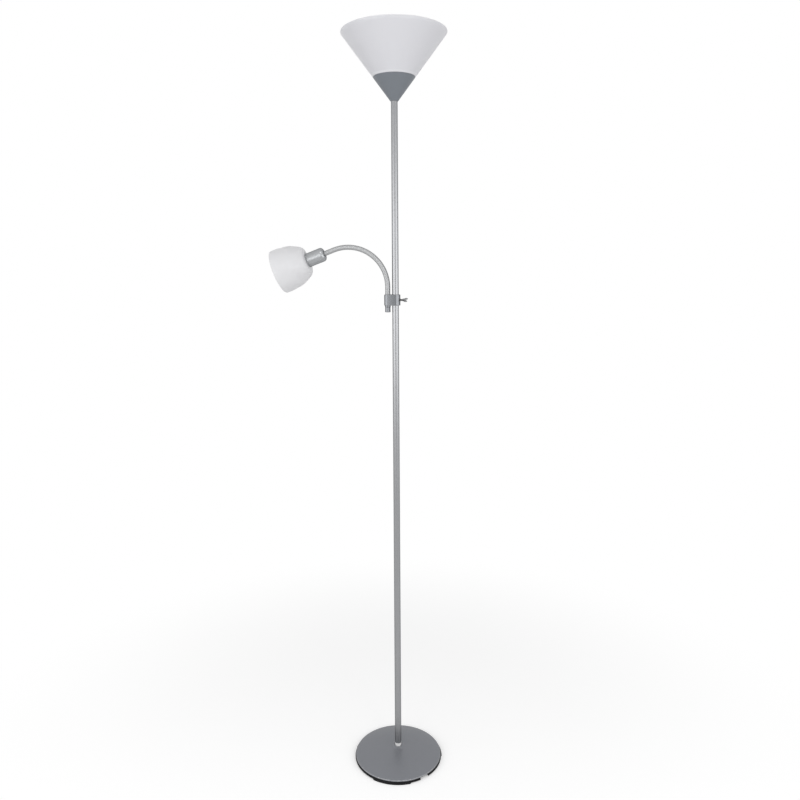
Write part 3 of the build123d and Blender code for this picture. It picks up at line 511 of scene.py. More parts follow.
WHITE = (1.0, 1.0, 1.0, 1.0)
RUBBED_SILVER = (0.62, 0.62, 0.62)
WORN_AND_PAINTED_RIM_GREY = (0.50, 0.50, 0.51)
SILVER_SHINE = {
    "Specular Tint": (0.25, 0.25, 0.26, 1.0),  # keeps the edges of round silver pieces dark
    "Coat Weight": 0.04,
    "Coat Roughness": 0.25,
}
GRAIN_DEPTH = 0.4 * MM


def coated(name, base, roughness, metallic=0.0, flakes=0.0, grain=0.04, grain_scale=900.0, bump=0.02,
           handling=0.05, edge_tint=0.0, edge_tint_colour=None, streaks=0.0, sockets=None):
    """A sprayed, plated or moulded finish.

    Its colour is the base times the tones of the grain, the flakes and the drawn streaks, and goes to
    the edge tint colour on edges: worn edges, and on the shades and the base cover also a painted rim
    line of shade or highlight. Its roughness is the base roughness plus the traces of handling.
    Its bump is the grain.
    """
    if name in Kit.made:
        return Kit.made[name]
    finishes = bpy.context.scene.lamp_finishes
    material = bpy.data.materials.new(name)
    material.use_nodes = True
    tree = material.node_tree
    shader = tree.nodes["Principled BSDF"]
    fine = use(tree, Kit.group(grain_group), Scale=grain_scale, Tone=grain * finishes.grain)
    tone = fine["Tone"]
    if flakes:
        cells = use(tree, Kit.group(flake_group), Tone=flakes * finishes.grain)
        tone = maths(tree, "MULTIPLY", tone, cells["Tone"])
    if streaks:
        drawn = {"Vector": place_on(tree), "Scale": (1500.0, 1500.0, 12.0)}
        lines = noise(tree, add(tree, "ShaderNodeMapping", drawn).outputs[0], 1.0, 2.0)
        change = maths(tree, "MULTIPLY", maths(tree, "SUBTRACT", lines, 0.5), streaks)
        tone = maths(tree, "MULTIPLY", tone, maths(tree, "ADD", change, 1.0))
    skin = scaled(tree, base, tone)
    if edge_tint:
        mask = use(tree, Kit.group(rub_and_rim_line_group), Amount=edge_tint * finishes.wear_and_rim_lines)["Mask"]
        skin = blended(tree, mask, skin, plain(edge_tint_colour))
    tree.links.new(skin, shader.inputs["Base Color"])
    marks = use(tree, Kit.group(handling_group), Amount=handling)
    tree.links.new(maths(tree, "ADD", marks["Change"], roughness, clamp=True), shader.inputs["Roughness"])
    relief = {"Height": fine["Height"], "Strength": bump, "Distance": GRAIN_DEPTH}
    height = add(tree, "ShaderNodeBump", relief)
    tree.links.new(height.outputs[0], shader.inputs["Normal"])
    shader.inputs["Metallic"].default_value = metallic
    for key, value in (sockets or {}).items():
        shader.inputs[key].default_value = value
    Kit.made[name] = material
    return material


def silver_lacquer():
    """Lacquer of the pole, with fine flakes and faint lines drawn along it."""
    silver = bpy.context.scene.lamp_finishes.silver
    return coated("silver lacquer", silver, 0.30, metallic=0.92, flakes=0.05, grain=0.02, bump=0.012,
                  handling=0.03, edge_tint=0.25, edge_tint_colour=RUBBED_SILVER, streaks=0.05, sockets=SILVER_SHINE)


def housing_lacquer():
    """Lacquer of the reading housing, with more flakes than the pole's."""
    silver = bpy.context.scene.lamp_finishes.housing_silver
    return coated("housing silver", silver, 0.38, metallic=0.95, flakes=0.12, grain=0.02, bump=0.03,
                  handling=0.03, edge_tint=0.25, edge_tint_colour=RUBBED_SILVER, sockets=SILVER_SHINE)


def cap_lacquer():
    """Grey lacquer of the cap under the uplighter shade."""
    grey = bpy.context.scene.lamp_finishes.cap_grey
    return coated("cap grey", grey, 0.42, metallic=0.35, flakes=0.08, grain=0.03, bump=0.04,
                  handling=0.04, edge_tint=0.35, edge_tint_colour=(0.34, 0.36, 0.38),
                  sockets={"Specular Tint": (0.7, 0.7, 0.72, 1.0)})


def base_lacquer():
    """Grey metallic lacquer of the base cover."""
    grey = bpy.context.scene.lamp_finishes.base_grey
    # the edge tint paints a light line along the rolled rim, a painted highlight, as well as worn edges
    return coated("base grey", grey, 0.42, metallic=0.5, flakes=0.12, grain=0.02, bump=0.02,
                  handling=0.05, edge_tint=0.6, edge_tint_colour=WORN_AND_PAINTED_RIM_GREY,
                  sockets={"Specular Tint": (0.7, 0.7, 0.7, 1.0), "Coat Weight": 0.05, "Coat Roughness": 0.3})


def bracket_plastic():
    """Grey metallic plastic of the clamp block and the long nut."""
    grey = bpy.context.scene.lamp_finishes.bracket_grey
    return coated("bracket grey", grey, 0.22, metallic=0.9, flakes=0.06, grain=0.04, bump=0.02,
                  handling=0.05, edge_tint=0.4, edge_tint_colour=(0.36, 0.36, 0.37),
                  sockets={"Specular Tint": (0.2, 0.2, 0.21, 1.0)})


def gooseneck_steel():
    """Steel of the gooseneck's winding."""
    steel = bpy.context.scene.lamp_finishes.steel
    return coated("gooseneck steel", steel, 0.36, metallic=0.7, grain=0.04, bump=0.01, handling=0.05,
                  sockets={"Specular Tint": (0.25, 0.25, 0.25, 1.0)})


def bright_metal(name="bright metal", roughness=0.12, tone=None):
    """Bare or plated metal, in the bright colour where no tone is given."""
    bright = tone or bpy.context.scene.lamp_finishes.bright
    return coated(name, bright, roughness, metallic=1.0, grain=0.05, bump=0.02, handling=0.06,
                  edge_tint=0.2, edge_tint_colour=(0.75, 0.75, 0.75))


def thread_steel():
    """Steel of the hollow threads, nuts and threaded ends."""
    return bright_metal("thread steel", 0.3, (0.45, 0.45, 0.45))


def bulb_metal():
    """Thin metal of the bulbs' screw caps."""
    return bright_metal("bulb metal", 0.3, (0.6, 0.59, 0.56))


def white_plastic():
    """White plastic of the lampholders and shade rings."""
    white = bpy.context.scene.lamp_finishes.white_plastic
    return coated("lampholder white", white, 0.35, grain=0.03, bump=0.03, handling=0.05,
                  edge_tint=0.2, edge_tint_colour=(0.8, 0.8, 0.78),
                  sockets={"Subsurface Weight": 0.1, "Subsurface Scale": 0.002})


def black_plastic():
    """Black plastic of the ring under the base, with a moulded grain."""
    black = bpy.context.scene.lamp_finishes.black
    return coated("black plastic", black, 0.45, grain=0.12, grain_scale=1600.0, bump=0.12, handling=0.08,
                  edge_tint=0.5, edge_tint_colour=(0.03, 0.03, 0.03), sockets={"Specular IOR Level": 0.12})


def opal_glass():
    """White glass of the bulbs."""
    return coated("opal glass", (0.80, 0.80, 0.78), 0.14, grain=0.02, bump=0.005, handling=0.03,
                  sockets={"Subsurface Weight": 0.35, "Subsurface Scale": 0.004, "Coat Weight": 0.4,
                           "Coat Roughness": 0.05})


def frosted(name, base, neck=None):
    """Frosted translucent plastic: cloudy body colour, matt fine-grained skin, light bleeding through it.

    Where a neck range is given, a lighter band is painted between those heights: painted light standing in
    for the light through the thicker wall there.
    """
    if name in Kit.made:
        return Kit.made[name]
    sockets = {
        "Subsurface Weight": 0.55,
        "Subsurface Radius": (1.0, 1.0, 1.0),
        "Subsurface Scale": 0.004,
        "Coat Weight": 0.05,
        "Coat Roughness": 0.45,
    }
    # the edge tint paints a darker line on the rims, painted shade, as well as worn edges
    material = coated(name, base, 0.48, grain=0.02, grain_scale=1400.0, bump=0.03, handling=0.04,
                      edge_tint=0.5, edge_tint_colour=WORN_AND_PAINTED_RIM_GREY, sockets=sockets)
    if neck:
        tree = material.node_tree
        shader = tree.nodes["Principled BSDF"]
        before = shader.inputs["Base Color"].links[0].from_socket
        z = add(tree, "ShaderNodeSeparateXYZ", {0: place_on(tree)}).outputs["Z"]
        low, high = neck
        rise = spread(tree, z, low, low + 0.6 * MM, 0.0, 1.0)
        fall = spread(tree, z, high - 0.8 * MM, high, 1.0, 0.0)
        mask = maths(tree, "MULTIPLY", maths(tree, "MULTIPLY", rise, fall), 0.35)
        # painted light: a lighter band where the wall is doubled, standing in for light through the thicker
        # wall
        painted_neck_light = (0.80, 0.80, 0.82, 1.0)
        tree.links.new(blended(tree, mask, before, painted_neck_light), shader.inputs["Base Color"])
    return material


# ---- Where the gooseneck runs --------------------------------------------------------
NECK_LOW = 18.0 * MM  # straight, from the bracket up to the bend
NECK_HIGH = 24.0 * MM  # straight, from the bend to the reading head
NECK_STEPS = 8  # joints along the bend


def neck_line(s):
    """Points and directions of the gooseneck's centreline at distances s from the bracket.

    It goes straight up, then round an arc, then straight on. On the arc at angle a the point is
    centre + R (cos a, sin a) and the direction (-sin a, cos a), both in the plane y = 0.
    """
    sizes = bpy.context.scene.lamp_sizes
    radius, bend = sizes.neck_bend_radius, sizes.neck_bend
    s = np.asarray(s, float)
    a = np.clip((s - NECK_LOW) / radius, 0, bend)
    beyond = np.minimum(s - NECK_LOW, 0) + np.maximum(s - NECK_LOW - radius * bend, 0)
    centre = np.array([arm_axis_x(sizes) - radius, 0.0, LOW["gooseneck_0"].z + NECK_LOW])
    outward = np.stack([np.cos(a), np.zeros_like(a), np.sin(a)], -1)
    along = np.stack([-np.sin(a), np.zeros_like(a), np.cos(a)], -1)
    return centre + radius * outward + beyond[..., None] * along, along


def arm_axis_x(sizes):
    """X of the upright axis that the gooseneck rises on from the bracket."""
    return LOW["gooseneck_0"].x + sizes.neck_radius


def neck_total():
    """Length of the gooseneck's centreline."""
    sizes = bpy.context.scene.lamp_sizes
    return NECK_LOW + sizes.neck_bend_radius * sizes.neck_bend + NECK_HIGH


# ---- Operators -----------------------------------------------------------------------
class LAMP_OT_stage(bpy.types.Operator):
    """Pale floor, soft studio light and the camera"""

    bl_idname = "lamp.stage"
    bl_label = "Stage"

    def execute(self, context):
        stage = context.scene.lamp_stage
        self.make_floor(stage)
        self.make_world(context, stage)
        self.make_lights(context, stage)
        self.make_camera(context, stage)
        context.scene.view_settings.view_transform = "Standard"
        return {"FINISHED"}

    def make_floor(self, stage):
        """Flat disc: at radius r and angle a the point is (r cos a, r sin a, -0.0002)."""
        rings, spokes, drop = 13, 96, -0.2 * MM
        r = np.concatenate([[0], np.linspace(0.4, 9.0, rings - 1)])[:, None]
        a = np.linspace(0, 2 * np.pi, spokes, endpoint=False)[None]
        points = np.stack([r * np.cos(a), r * np.sin(a), np.full((rings, spokes), drop)], -1)
        ids = np.arange(rings * spokes).reshape(rings, spokes)
        ids = np.concatenate([ids, ids[:, :1]], 1)
        quads = np.stack([ids[1:-1, :-1], ids[2:, :-1], ids[2:, 1:], ids[1:-1, 1:]], -1).reshape(-1, 4)
        middle = np.stack([np.zeros(spokes, int), ids[1, :-1], ids[1, 1:]], -1)
        mesh = bpy.data.meshes.new("floor")
        mesh.from_pydata(points.reshape(-1, 3), [], quads.tolist() + middle.tolist())
        floor = bpy.data.objects.new("floor", mesh)
        bpy.context.scene.collection.objects.link(floor)
        material = bpy.data.materials.new("pale floor")
        material.use_nodes = True
        tree = material.node_tree
        shader = tree.nodes["Principled BSDF"]
        shader.inputs["Base Color"].default_value = plain(stage.floor)
        shader.inputs["Roughness"].default_value = 0.9
        shader.inputs["Specular IOR Level"].default_value = 0.0
        shader.inputs["Emission Color"].default_value = WHITE
        seen = self.seen(tree)
        tree.links.new(maths(tree, "MULTIPLY", seen, stage.lift), shader.inputs["Emission Strength"])
        away = add(tree, "ShaderNodeVectorMath", {0: place_on(tree)}, operation="LENGTH").outputs["Value"]
        far = maths(tree, "MULTIPLY", spread(tree, away, 0.35, 1.3, 0.0, 1.0), seen)
        white = add(tree, "ShaderNodeEmission", {"Color": WHITE, "Strength": 1.0}).outputs[0]
        both = add(tree, "ShaderNodeMixShader", {0: far, 1: shader.outputs[0], 2: white}).outputs[0]
        tree.links.new(both, tree.nodes["Material Output"].inputs["Surface"])
        mesh.materials.append(material)

    def seen(self, tree):
        """1 for what the camera sees straight, in a mirror or through glass."""
        path = add(tree, "ShaderNodeLightPath").outputs
        either = maths(tree, "MAXIMUM", path["Is Camera Ray"], path["Is Glossy Ray"])
        return maths(tree, "MAXIMUM", either, path["Is Transmission Ray"])

    def make_world(self, context, stage):
        """White where the camera sees it, and even light on everything else."""
        world = bpy.data.worlds.new("studio")
        context.scene.world = world
        world.use_nodes = True
        tree = world.node_tree
        tree.nodes.clear()
        light = add(tree, "ShaderNodeBackground", {"Color": WHITE, "Strength": stage.sky}).outputs[0]
        white = add(tree, "ShaderNodeBackground", {"Color": WHITE, "Strength": 1.0}).outputs[0]
        mixed = add(tree, "ShaderNodeMixShader", {0: self.seen(tree), 1: light, 2: white}).outputs[0]
        add(tree, "ShaderNodeOutputWorld", {"Surface": mixed})

    def make_lights(self, context, stage):
        """Two wide softboxes, left and right of the camera, and one above it, turned to the lamp.

        A light's back direction is (sin a cos e, -cos a cos e, sin e) at turn a and rise e. It stands
        that way from a point on the pole, at its distance away and above the floor.
        """
        box, box_away, box_above = (stage.box_width, stage.box_height), 2.2, 1.15
        top_box, top_away, top_above = (1.6, 0.7), 2.4, 1.0
        right_power = stage.box_power * 0.94  # a little weaker than the left softbox
        boxes = (
            ("left softbox", -stage.box_turn, 0.0, box, stage.box_power, box_away, box_above),
            ("right softbox", stage.box_turn, 0.0, box, right_power, box_away, box_above),
            ("top softbox", 0.0, stage.top_rise, top_box, stage.top_power, top_away, top_above),
        )
        for name, turn, rise, (width, height), power, away, above in boxes:
            light = bpy.data.lights.new(name, "AREA")
            light.shape = "RECTANGLE"
            light.size, light.size_y = width, height
            light.energy = power
            thing = bpy.data.objects.new(name, light)
            a = stage.azimuth + turn
            back = np.array([math.sin(a) * math.cos(rise), -math.cos(a) * math.cos(rise), math.sin(rise)])
            side = np.array([math.cos(a), math.sin(a), 0.0])
            turned_to = Matrix(np.stack([side, np.cross(back, side), back], 1).tolist()).to_4x4()
            place = back * away + (0, 0, above)
            thing.matrix_world = Matrix.Translation(place) @ turned_to
            thing.visible_camera = False
            context.scene.collection.objects.link(thing)

    def make_camera(self, context, stage):
        """Camera on a circle round the pole: back direction (sin a cos p, -cos a cos p, sin p)."""
        data = bpy.data.cameras.new("camera")
        data.sensor_width = 36.0
        data.lens = stage.lens
        data.shift_x, data.shift_y = stage.shift_x, stage.shift_y
        camera = bpy.data.objects.new("camera", data)
        context.scene.collection.objects.link(camera)
        a, p = stage.azimuth, stage.pitch
        side = np.array([math.cos(a), math.sin(a), 0.0])
        back = np.array([math.sin(a) * math.cos(p), -math.cos(a) * math.cos(p), math.sin(p)])
        over = np.cross(back, side)
        place = (math.sin(a) * stage.distance, -math.cos(a) * stage.distance, stage.height)
        turn = Matrix(np.stack([side, over, back], 1).tolist()).to_4x4() @ Matrix.Rotation(stage.roll, 4, "Z")
        camera.matrix_world = Matrix.Translation(place) @ turn
        context.scene.camera = camera


class LAMP_OT_base(bpy.types.Operator):
    """Dome cover, black ring and bright collar at the foot of the pole"""

    bl_idname = "lamp.base"
    bl_label = "Base"

    def execute(self, context):
        sizes = context.scene.lamp_sizes
        self.make_cover(sizes)
        self.make_ring(sizes)
        self.make_collar(sizes)
        iron = coated("cast iron", (0.055, 0.053, 0.05), 0.62, metallic=0.6, grain=0.35,
                      grain_scale=700.0, bump=0.5, handling=0.12)
        board = coated("black board", (0.03, 0.03, 0.03), 0.8, grain=0.3, grain_scale=500.0,
                       bump=0.25, handling=0.08)
        zinc = coated("zinc steel", (0.5, 0.51, 0.5), 0.35, metallic=1.0, grain=0.15,
                      grain_scale=500.0, bump=0.08, handling=0.1)
        connector = coated("connector plastic", (0.75, 0.74, 0.7), 0.5, grain=0.05, bump=0.06, handling=0.05)
        sheath = coated("lead sheath", (0.7, 0.7, 0.68), 0.5, grain=0.05, bump=0.08, handling=0.06)
        dress(iron, "base_weight")
        dress(board, "bottom_plate")
        dress(zinc, "base_washer", "base_lock_washer", "base_nut", "foot_nipple")
        dress(connector, "connector_block")
        dress(sheath, "inner_lead")
        return {"FINISHED"}

    def make_cover(self, sizes):
        """Outline: dome arc from the rim to the flare, flare arc up to the crown, the same two lines
        one wall lower, and a rolled rim.
        """
        r, top, foot = sizes.base_radius, HIGH["base_cover"].z, LOW["base_cover"].z
        crown_r = HIGH["foot_collar"].x - 0.4 * MM
        lip = foot + 2.4 * MM

        def line(drop):
            rim = np.array([r - drop, lip - drop])
            flare = np.array([crown_r + 7.0 * MM, top - 2.6 * MM - drop])
            crown = np.array([crown_r, top - drop])
            bulge = (rim + flare) / 2 + (0, sizes.base_bulge)
            rise = (flare + crown) / 2 - (0.35 * MM, 0.45 * MM)
            return np.concatenate([arc(rim, bulge, flare, 40), arc(flare, rise, crown, 8)[1:]])

        over, under = line(0), line(sizes.base_wall)[::-1]
        corners = np.concatenate([
            [(r - sizes.base_wall, foot), (r, foot)],
            over,
            [(THREAD_HOLE, top), (THREAD_HOLE, top - sizes.base_wall)],
            under,
        ])
        outline, into = softened(corners, {0: 0.45, 1: 0.45, 2: 1.6})
        cover = turned(outline, into, columns=192)
        build("cover", [cover], "stand", ["base_cover"], base_lacquer())

    def make_ring(self, sizes):
        """Outline carried round from one side of the cord notch to the other. At radius r the notch's
        half width w takes the angle asin(w / r). Three pads stand out and down from the ring: between
        them its foot is in and up by (1 - z / top) times the pad's two sizes. The step from a pad to
        the rest is 1 / (1 + exp(6 * degrees past the pad's end)).
        """
        outer, inner, top = HIGH["base_ring"].x, 96.3 * MM, HIGH["base_ring"].z
        heel, ledge, ledge_top = 1.5 * MM, inner - 7.0 * MM, 3.0 * MM
        corners = np.array([
            (inner + 0.7 * MM, 0), (outer, 0), (outer, heel), (sizes.base_radius + 0.8 * MM, top),
            (inner, top), (inner, ledge_top), (ledge, ledge_top), (ledge, heel),
            (inner + 0.7 * MM, heel),
        ])
        cuts = np.array([0.2, 0.6, 0.5, 0.5, 0.3, 0, 0.3, 0.3, 0]) * MM
        outline, into = rounded(corners, cuts, 5)
        r, z = outline[:, 0][None], outline[:, 1][None]
        half = np.arcsin(NOTCH_HALF / r)
        t = np.linspace(0, 1, 420)[:, None]
        a = NOTCH_TURN + half + t * (2 * np.pi - 2 * half)
        from_pad = np.abs((np.degrees(a) - PAD_TURN + PAD_EVERY / 2) % PAD_EVERY - PAD_EVERY / 2)
        pad = 1 / (1 + np.exp((from_pad - PAD_HALF) * 6))
        away = (1 - pad) * (1 - z / top)
        pad_out, pad_down = 2.2 * MM, 2.4 * MM
        r = r - away * pad_out * (r > inner + 2 * MM)
        z = z + away * pad_down * (z < heel - 0.01 * MM)
        points = np.stack([r * np.cos(a), r * np.sin(a), np.broadcast_to(z, a.shape)], -1)[::-1]
        ring = shell(points, np.broadcast_to(into, points.shape[:2]), rows_meet=False, ends="flat")
        build("foot_ring", [ring], "stand", ["base_ring"], black_plastic())

    def make_collar(self, sizes):
        """Outline: short upright foot, slightly round side that leans in to a thin lip, bore."""
        low, high = LOW["foot_collar"].z, HIGH["foot_collar"].z
        foot, inner = HIGH["foot_collar"].x, sizes.pole_radius + SLIP
        lip, foot_top = inner + 0.45 * MM, low + 0.5 * MM
        middle = ((foot + lip) / 2 + 0.12 * MM, (foot_top + high) / 2)
        side = arc((foot, foot_top), middle, (lip, high), 24)
        corners = np.concatenate([[(inner, low), (foot, low)], side, [(inner, high)]])
        outline, into = softened(corners, {1: 0.3, -2: 0.12, -1: 0.12})
        build("collar", [turned(outline, into)], "stand", ["foot_collar"], bright_metal())


class LAMP_OT_pole(bpy.types.Operator):
    """Three lacquered tubes, their ends just rounded so that the joints show as fine lines"""

    bl_idname = "lamp.pole"
    bl_label = "Pole"

    def execute(self, context):
        sizes = context.scene.lamp_sizes
        for node in ("pole_lower", "pole_middle", "pole_upper"):
            self.make_tube(sizes, node)
        brass = coated("insert brass", (0.55, 0.40, 0.16), 0.35, metallic=1.0, grain=0.1,
                       bump=0.05, handling=0.1)
        dress(brass, "pole_inserts")
        dress(thread_steel(), "pole_nipples", "top_nipple")
        return {"FINISHED"}

    def make_tube(self, sizes, node):
        """Outline: outside, top, inside and foot of the tube, with rounded edges."""
        outer, inner = sizes.pole_radius, sizes.pole_radius - sizes.pole_wall
        low, high = LOW[node].z, HIGH[node].z
        side = np.linspace(low, high, 12)[1:-1]
        corners = np.concatenate([
            [(inner, low), (outer, low)],
            upright(outer, side),
            [(outer, high), (inner, high)],
        ])
        outline, into = softened(corners, {1: 0.16, -2: 0.16}, 5)
        name = node.replace("pole", "tube")
        build(name, [turned(outline, into, columns=96)], "stand", [node], silver_lacquer())


class LAMP_OT_torchiere(bpy.types.Operator):
    """Grey cap, frosted cone, lampholder and bulb"""

    bl_idname = "lamp.torchiere"
    bl_label = "Torchiere head"

    def execute(self, context):
        sizes = context.scene.lamp_sizes
        foot_z, top_z = LOW["torchiere_cap"].z, HIGH["torchiere_shade"].z
        foot_r = sizes.pole_radius + 1.5 * MM
        slope = (HIGH["torchiere_shade"].x - foot_r) / (top_z - SHADE_RIM - foot_z)
        self.cone = lambda z: foot_r + slope * (z - foot_z)
        self.make_cap(sizes)
        self.make_shade(context, sizes)
        self.make_lampholder()
        self.make_bulb(sizes)
        dress(thread_steel(), "cap_nut")
        dress(white_plastic(), "torchiere_shade_ring")
        dress(bulb_metal(), "torchiere_bulb_cap")
        return {"FINISHED"}

    def make_cap(self, sizes):
        """Outline: bore, foot, cone, rounded upper edge, inner cone and floor."""
        cone, low, high = self.cone, LOW["torchiere_cap"].z, HIGH["torchiere_cap"].z
        bore, wall = sizes.pole_radius + SLIP, sizes.cap_wall
        floor_low, floor_top = HIGH["pole_upper"].z, HIGH["pole_upper"].z + 2.4 * MM
        side = np.linspace(low, high, 8)[1:-1]
        corners = np.concatenate([
            [(bore, low), (cone(low), low)],
            np.stack([cone(side), side], 1),
            [(cone(high), high), (cone(high) - wall, high), (cone(floor_top) - wall, floor_top),
             (THREAD_HOLE, floor_top), (THREAD_HOLE, floor_low), (bore, floor_low)],
        ])
        top = len(side) + 2
        outline, into = softened(corners, {1: 0.35, top: 0.7, top + 1: 0.4})
        cap = turned(outline, into, columns=160)
        build("cap", [cap], "stand", ["torchiere_cap"], cap_lacquer())

    def make_shade(self, context, sizes):
        """Outline: seat, neck inside the cap, step out to be flush with it, cone, round rim, inner cone."""
        cone, low, high = self.cone, LOW["torchiere_shade"].z, HIGH["torchiere_shade"].z
        cap_top, wall = HIGH["torchiere_cap"].z, sizes.shade_wall
        neck = sizes.cap_wall + 0.3 * MM
        neck_top = cap_top + 0.1 * MM
        floor_z, step_z, rim_z = low + 2.5 * MM, cap_top + 5.0 * MM, high - SHADE_RIM
        hole = 20.15 * MM
        side = np.linspace(cap_top, rim_z, 14)[1:-1]
        back = np.linspace(rim_z, step_z, 10)[1:-1]
        rim = arc((cone(rim_z), rim_z), (cone(rim_z) - wall / 2, high), (cone(rim_z) - wall, rim_z), 11)
        corners = np.concatenate([
            [(hole, low), (cone(low) - neck, low)],
            [(cone(cap_top) - neck, neck_top), (cone(cap_top), neck_top)],
            np.stack([cone(side), side], 1),
            rim,
            np.stack([cone(back) - wall, back], 1),
            [(cone(step_z) - wall, step_z), (cone(floor_z) - neck - wall, floor_z), (hole, floor_z)],
        ])
        outline, into = softened(corners, {0: 0.4, 1: 0.6, 3: 0.5, -2: 0.8, -1: 0.4})
        # painted darker rim line, partly wear: the rim takes the edge tint
        into = np.maximum(into, RIM_LINE_AND_WEAR * (outline[:, 1] > rim_z + 0.4 * MM))
        material = frosted("frosted plastic", context.scene.lamp_finishes.frosted, neck=(cap_top, step_z))
        shade = turned(outline, into, columns=192)
        build("shade", [shade], "stand", ["torchiere_shade"], material)

    def make_lampholder(self):
        """Outline of the lampholder, with a screw thread on its skirt for the shade ring."""
        low, high = LOW["torchiere_lampholder"].z, HIGH["torchiere_lampholder"].z
        seat, skirt, bore = LOW["torchiere_shade"].z, 20.0 * MM, 13.6 * MM
        body, flange, flange_low = 17.5 * MM, 23.0 * MM, seat - 3 * MM
        bore_end, thread_end = high - 32 * MM, low + 10 * MM
        side = np.linspace(seat, high - 1.0 * MM, 110)
        corners = np.concatenate([
            [(THREAD_BORE, low), (14.0 * MM, low), (body, low + 8 * MM), (body, flange_low),
             (flange, flange_low), (flange, seat)],
            upright(skirt, side),
            [(skirt, high), (bore, high), (bore, bore_end), (LEAD_HOLE, bore_end),
             (LEAD_HOLE, thread_end), (THREAD_BORE, thread_end)],
        ])
        outline, into = softened(corners, {1: 0.6, 2: 0.6, 4: 0.6, 5: 0.6, -6: 0.4, -5: 0.4})
        ridge = thread(seat, high, skirt, 2.5 * MM, 0.8 * MM)
        holder = turned(outline, into, columns=96, ridge=ridge)
        nodes = ["torchiere_lampholder"]
        build("lampholder", [holder], "stand", nodes, white_plastic())

    def make_bulb(self, sizes):
        """Globe bulb on the large screw cap."""
        low, high = LOW["torchiere_bulb_cap"].z, HIGH["torchiere_bulb"].z
        ball = globe(low, high, 26.0 * MM, 13.1 * MM, sizes.bulb_radius, (0, 0, 0), UP)
        build("bulb", [ball], "stand", ["torchiere_bulb"], opal_glass())


def globe(low, high, cap_length, cap_r, radius, origin, axis):
    """Round bulb: a neck that widens evenly into a sphere, closed at both ends on its axis.

    The sphere's outline is (R cos a, centre + R sin a), from 38 degrees below its middle to its top.
    """
    neck, centre = low + cap_length, high - radius
    a = np.radians(np.linspace(-38, 90, 30))
    ball = np.stack([radius * np.cos(a), centre + radius * np.sin(a)], 1)
    neck_end = np.array([cap_r - 0.4 * MM, neck + 3 * MM])
    bend = through([neck_end, ball[0]], (0.0, 1.0), (-math.sin(a[0]), math.cos(a[0])), 14)
    foot = neck - 5 * MM
    outline = np.concatenate([[(0, foot), (cap_r - 1.4 * MM, foot)], bend, ball[1:-1], [(0, high)]])
    return turned(outline, np.zeros(len(outline)), origin, axis, 72, closed=False)


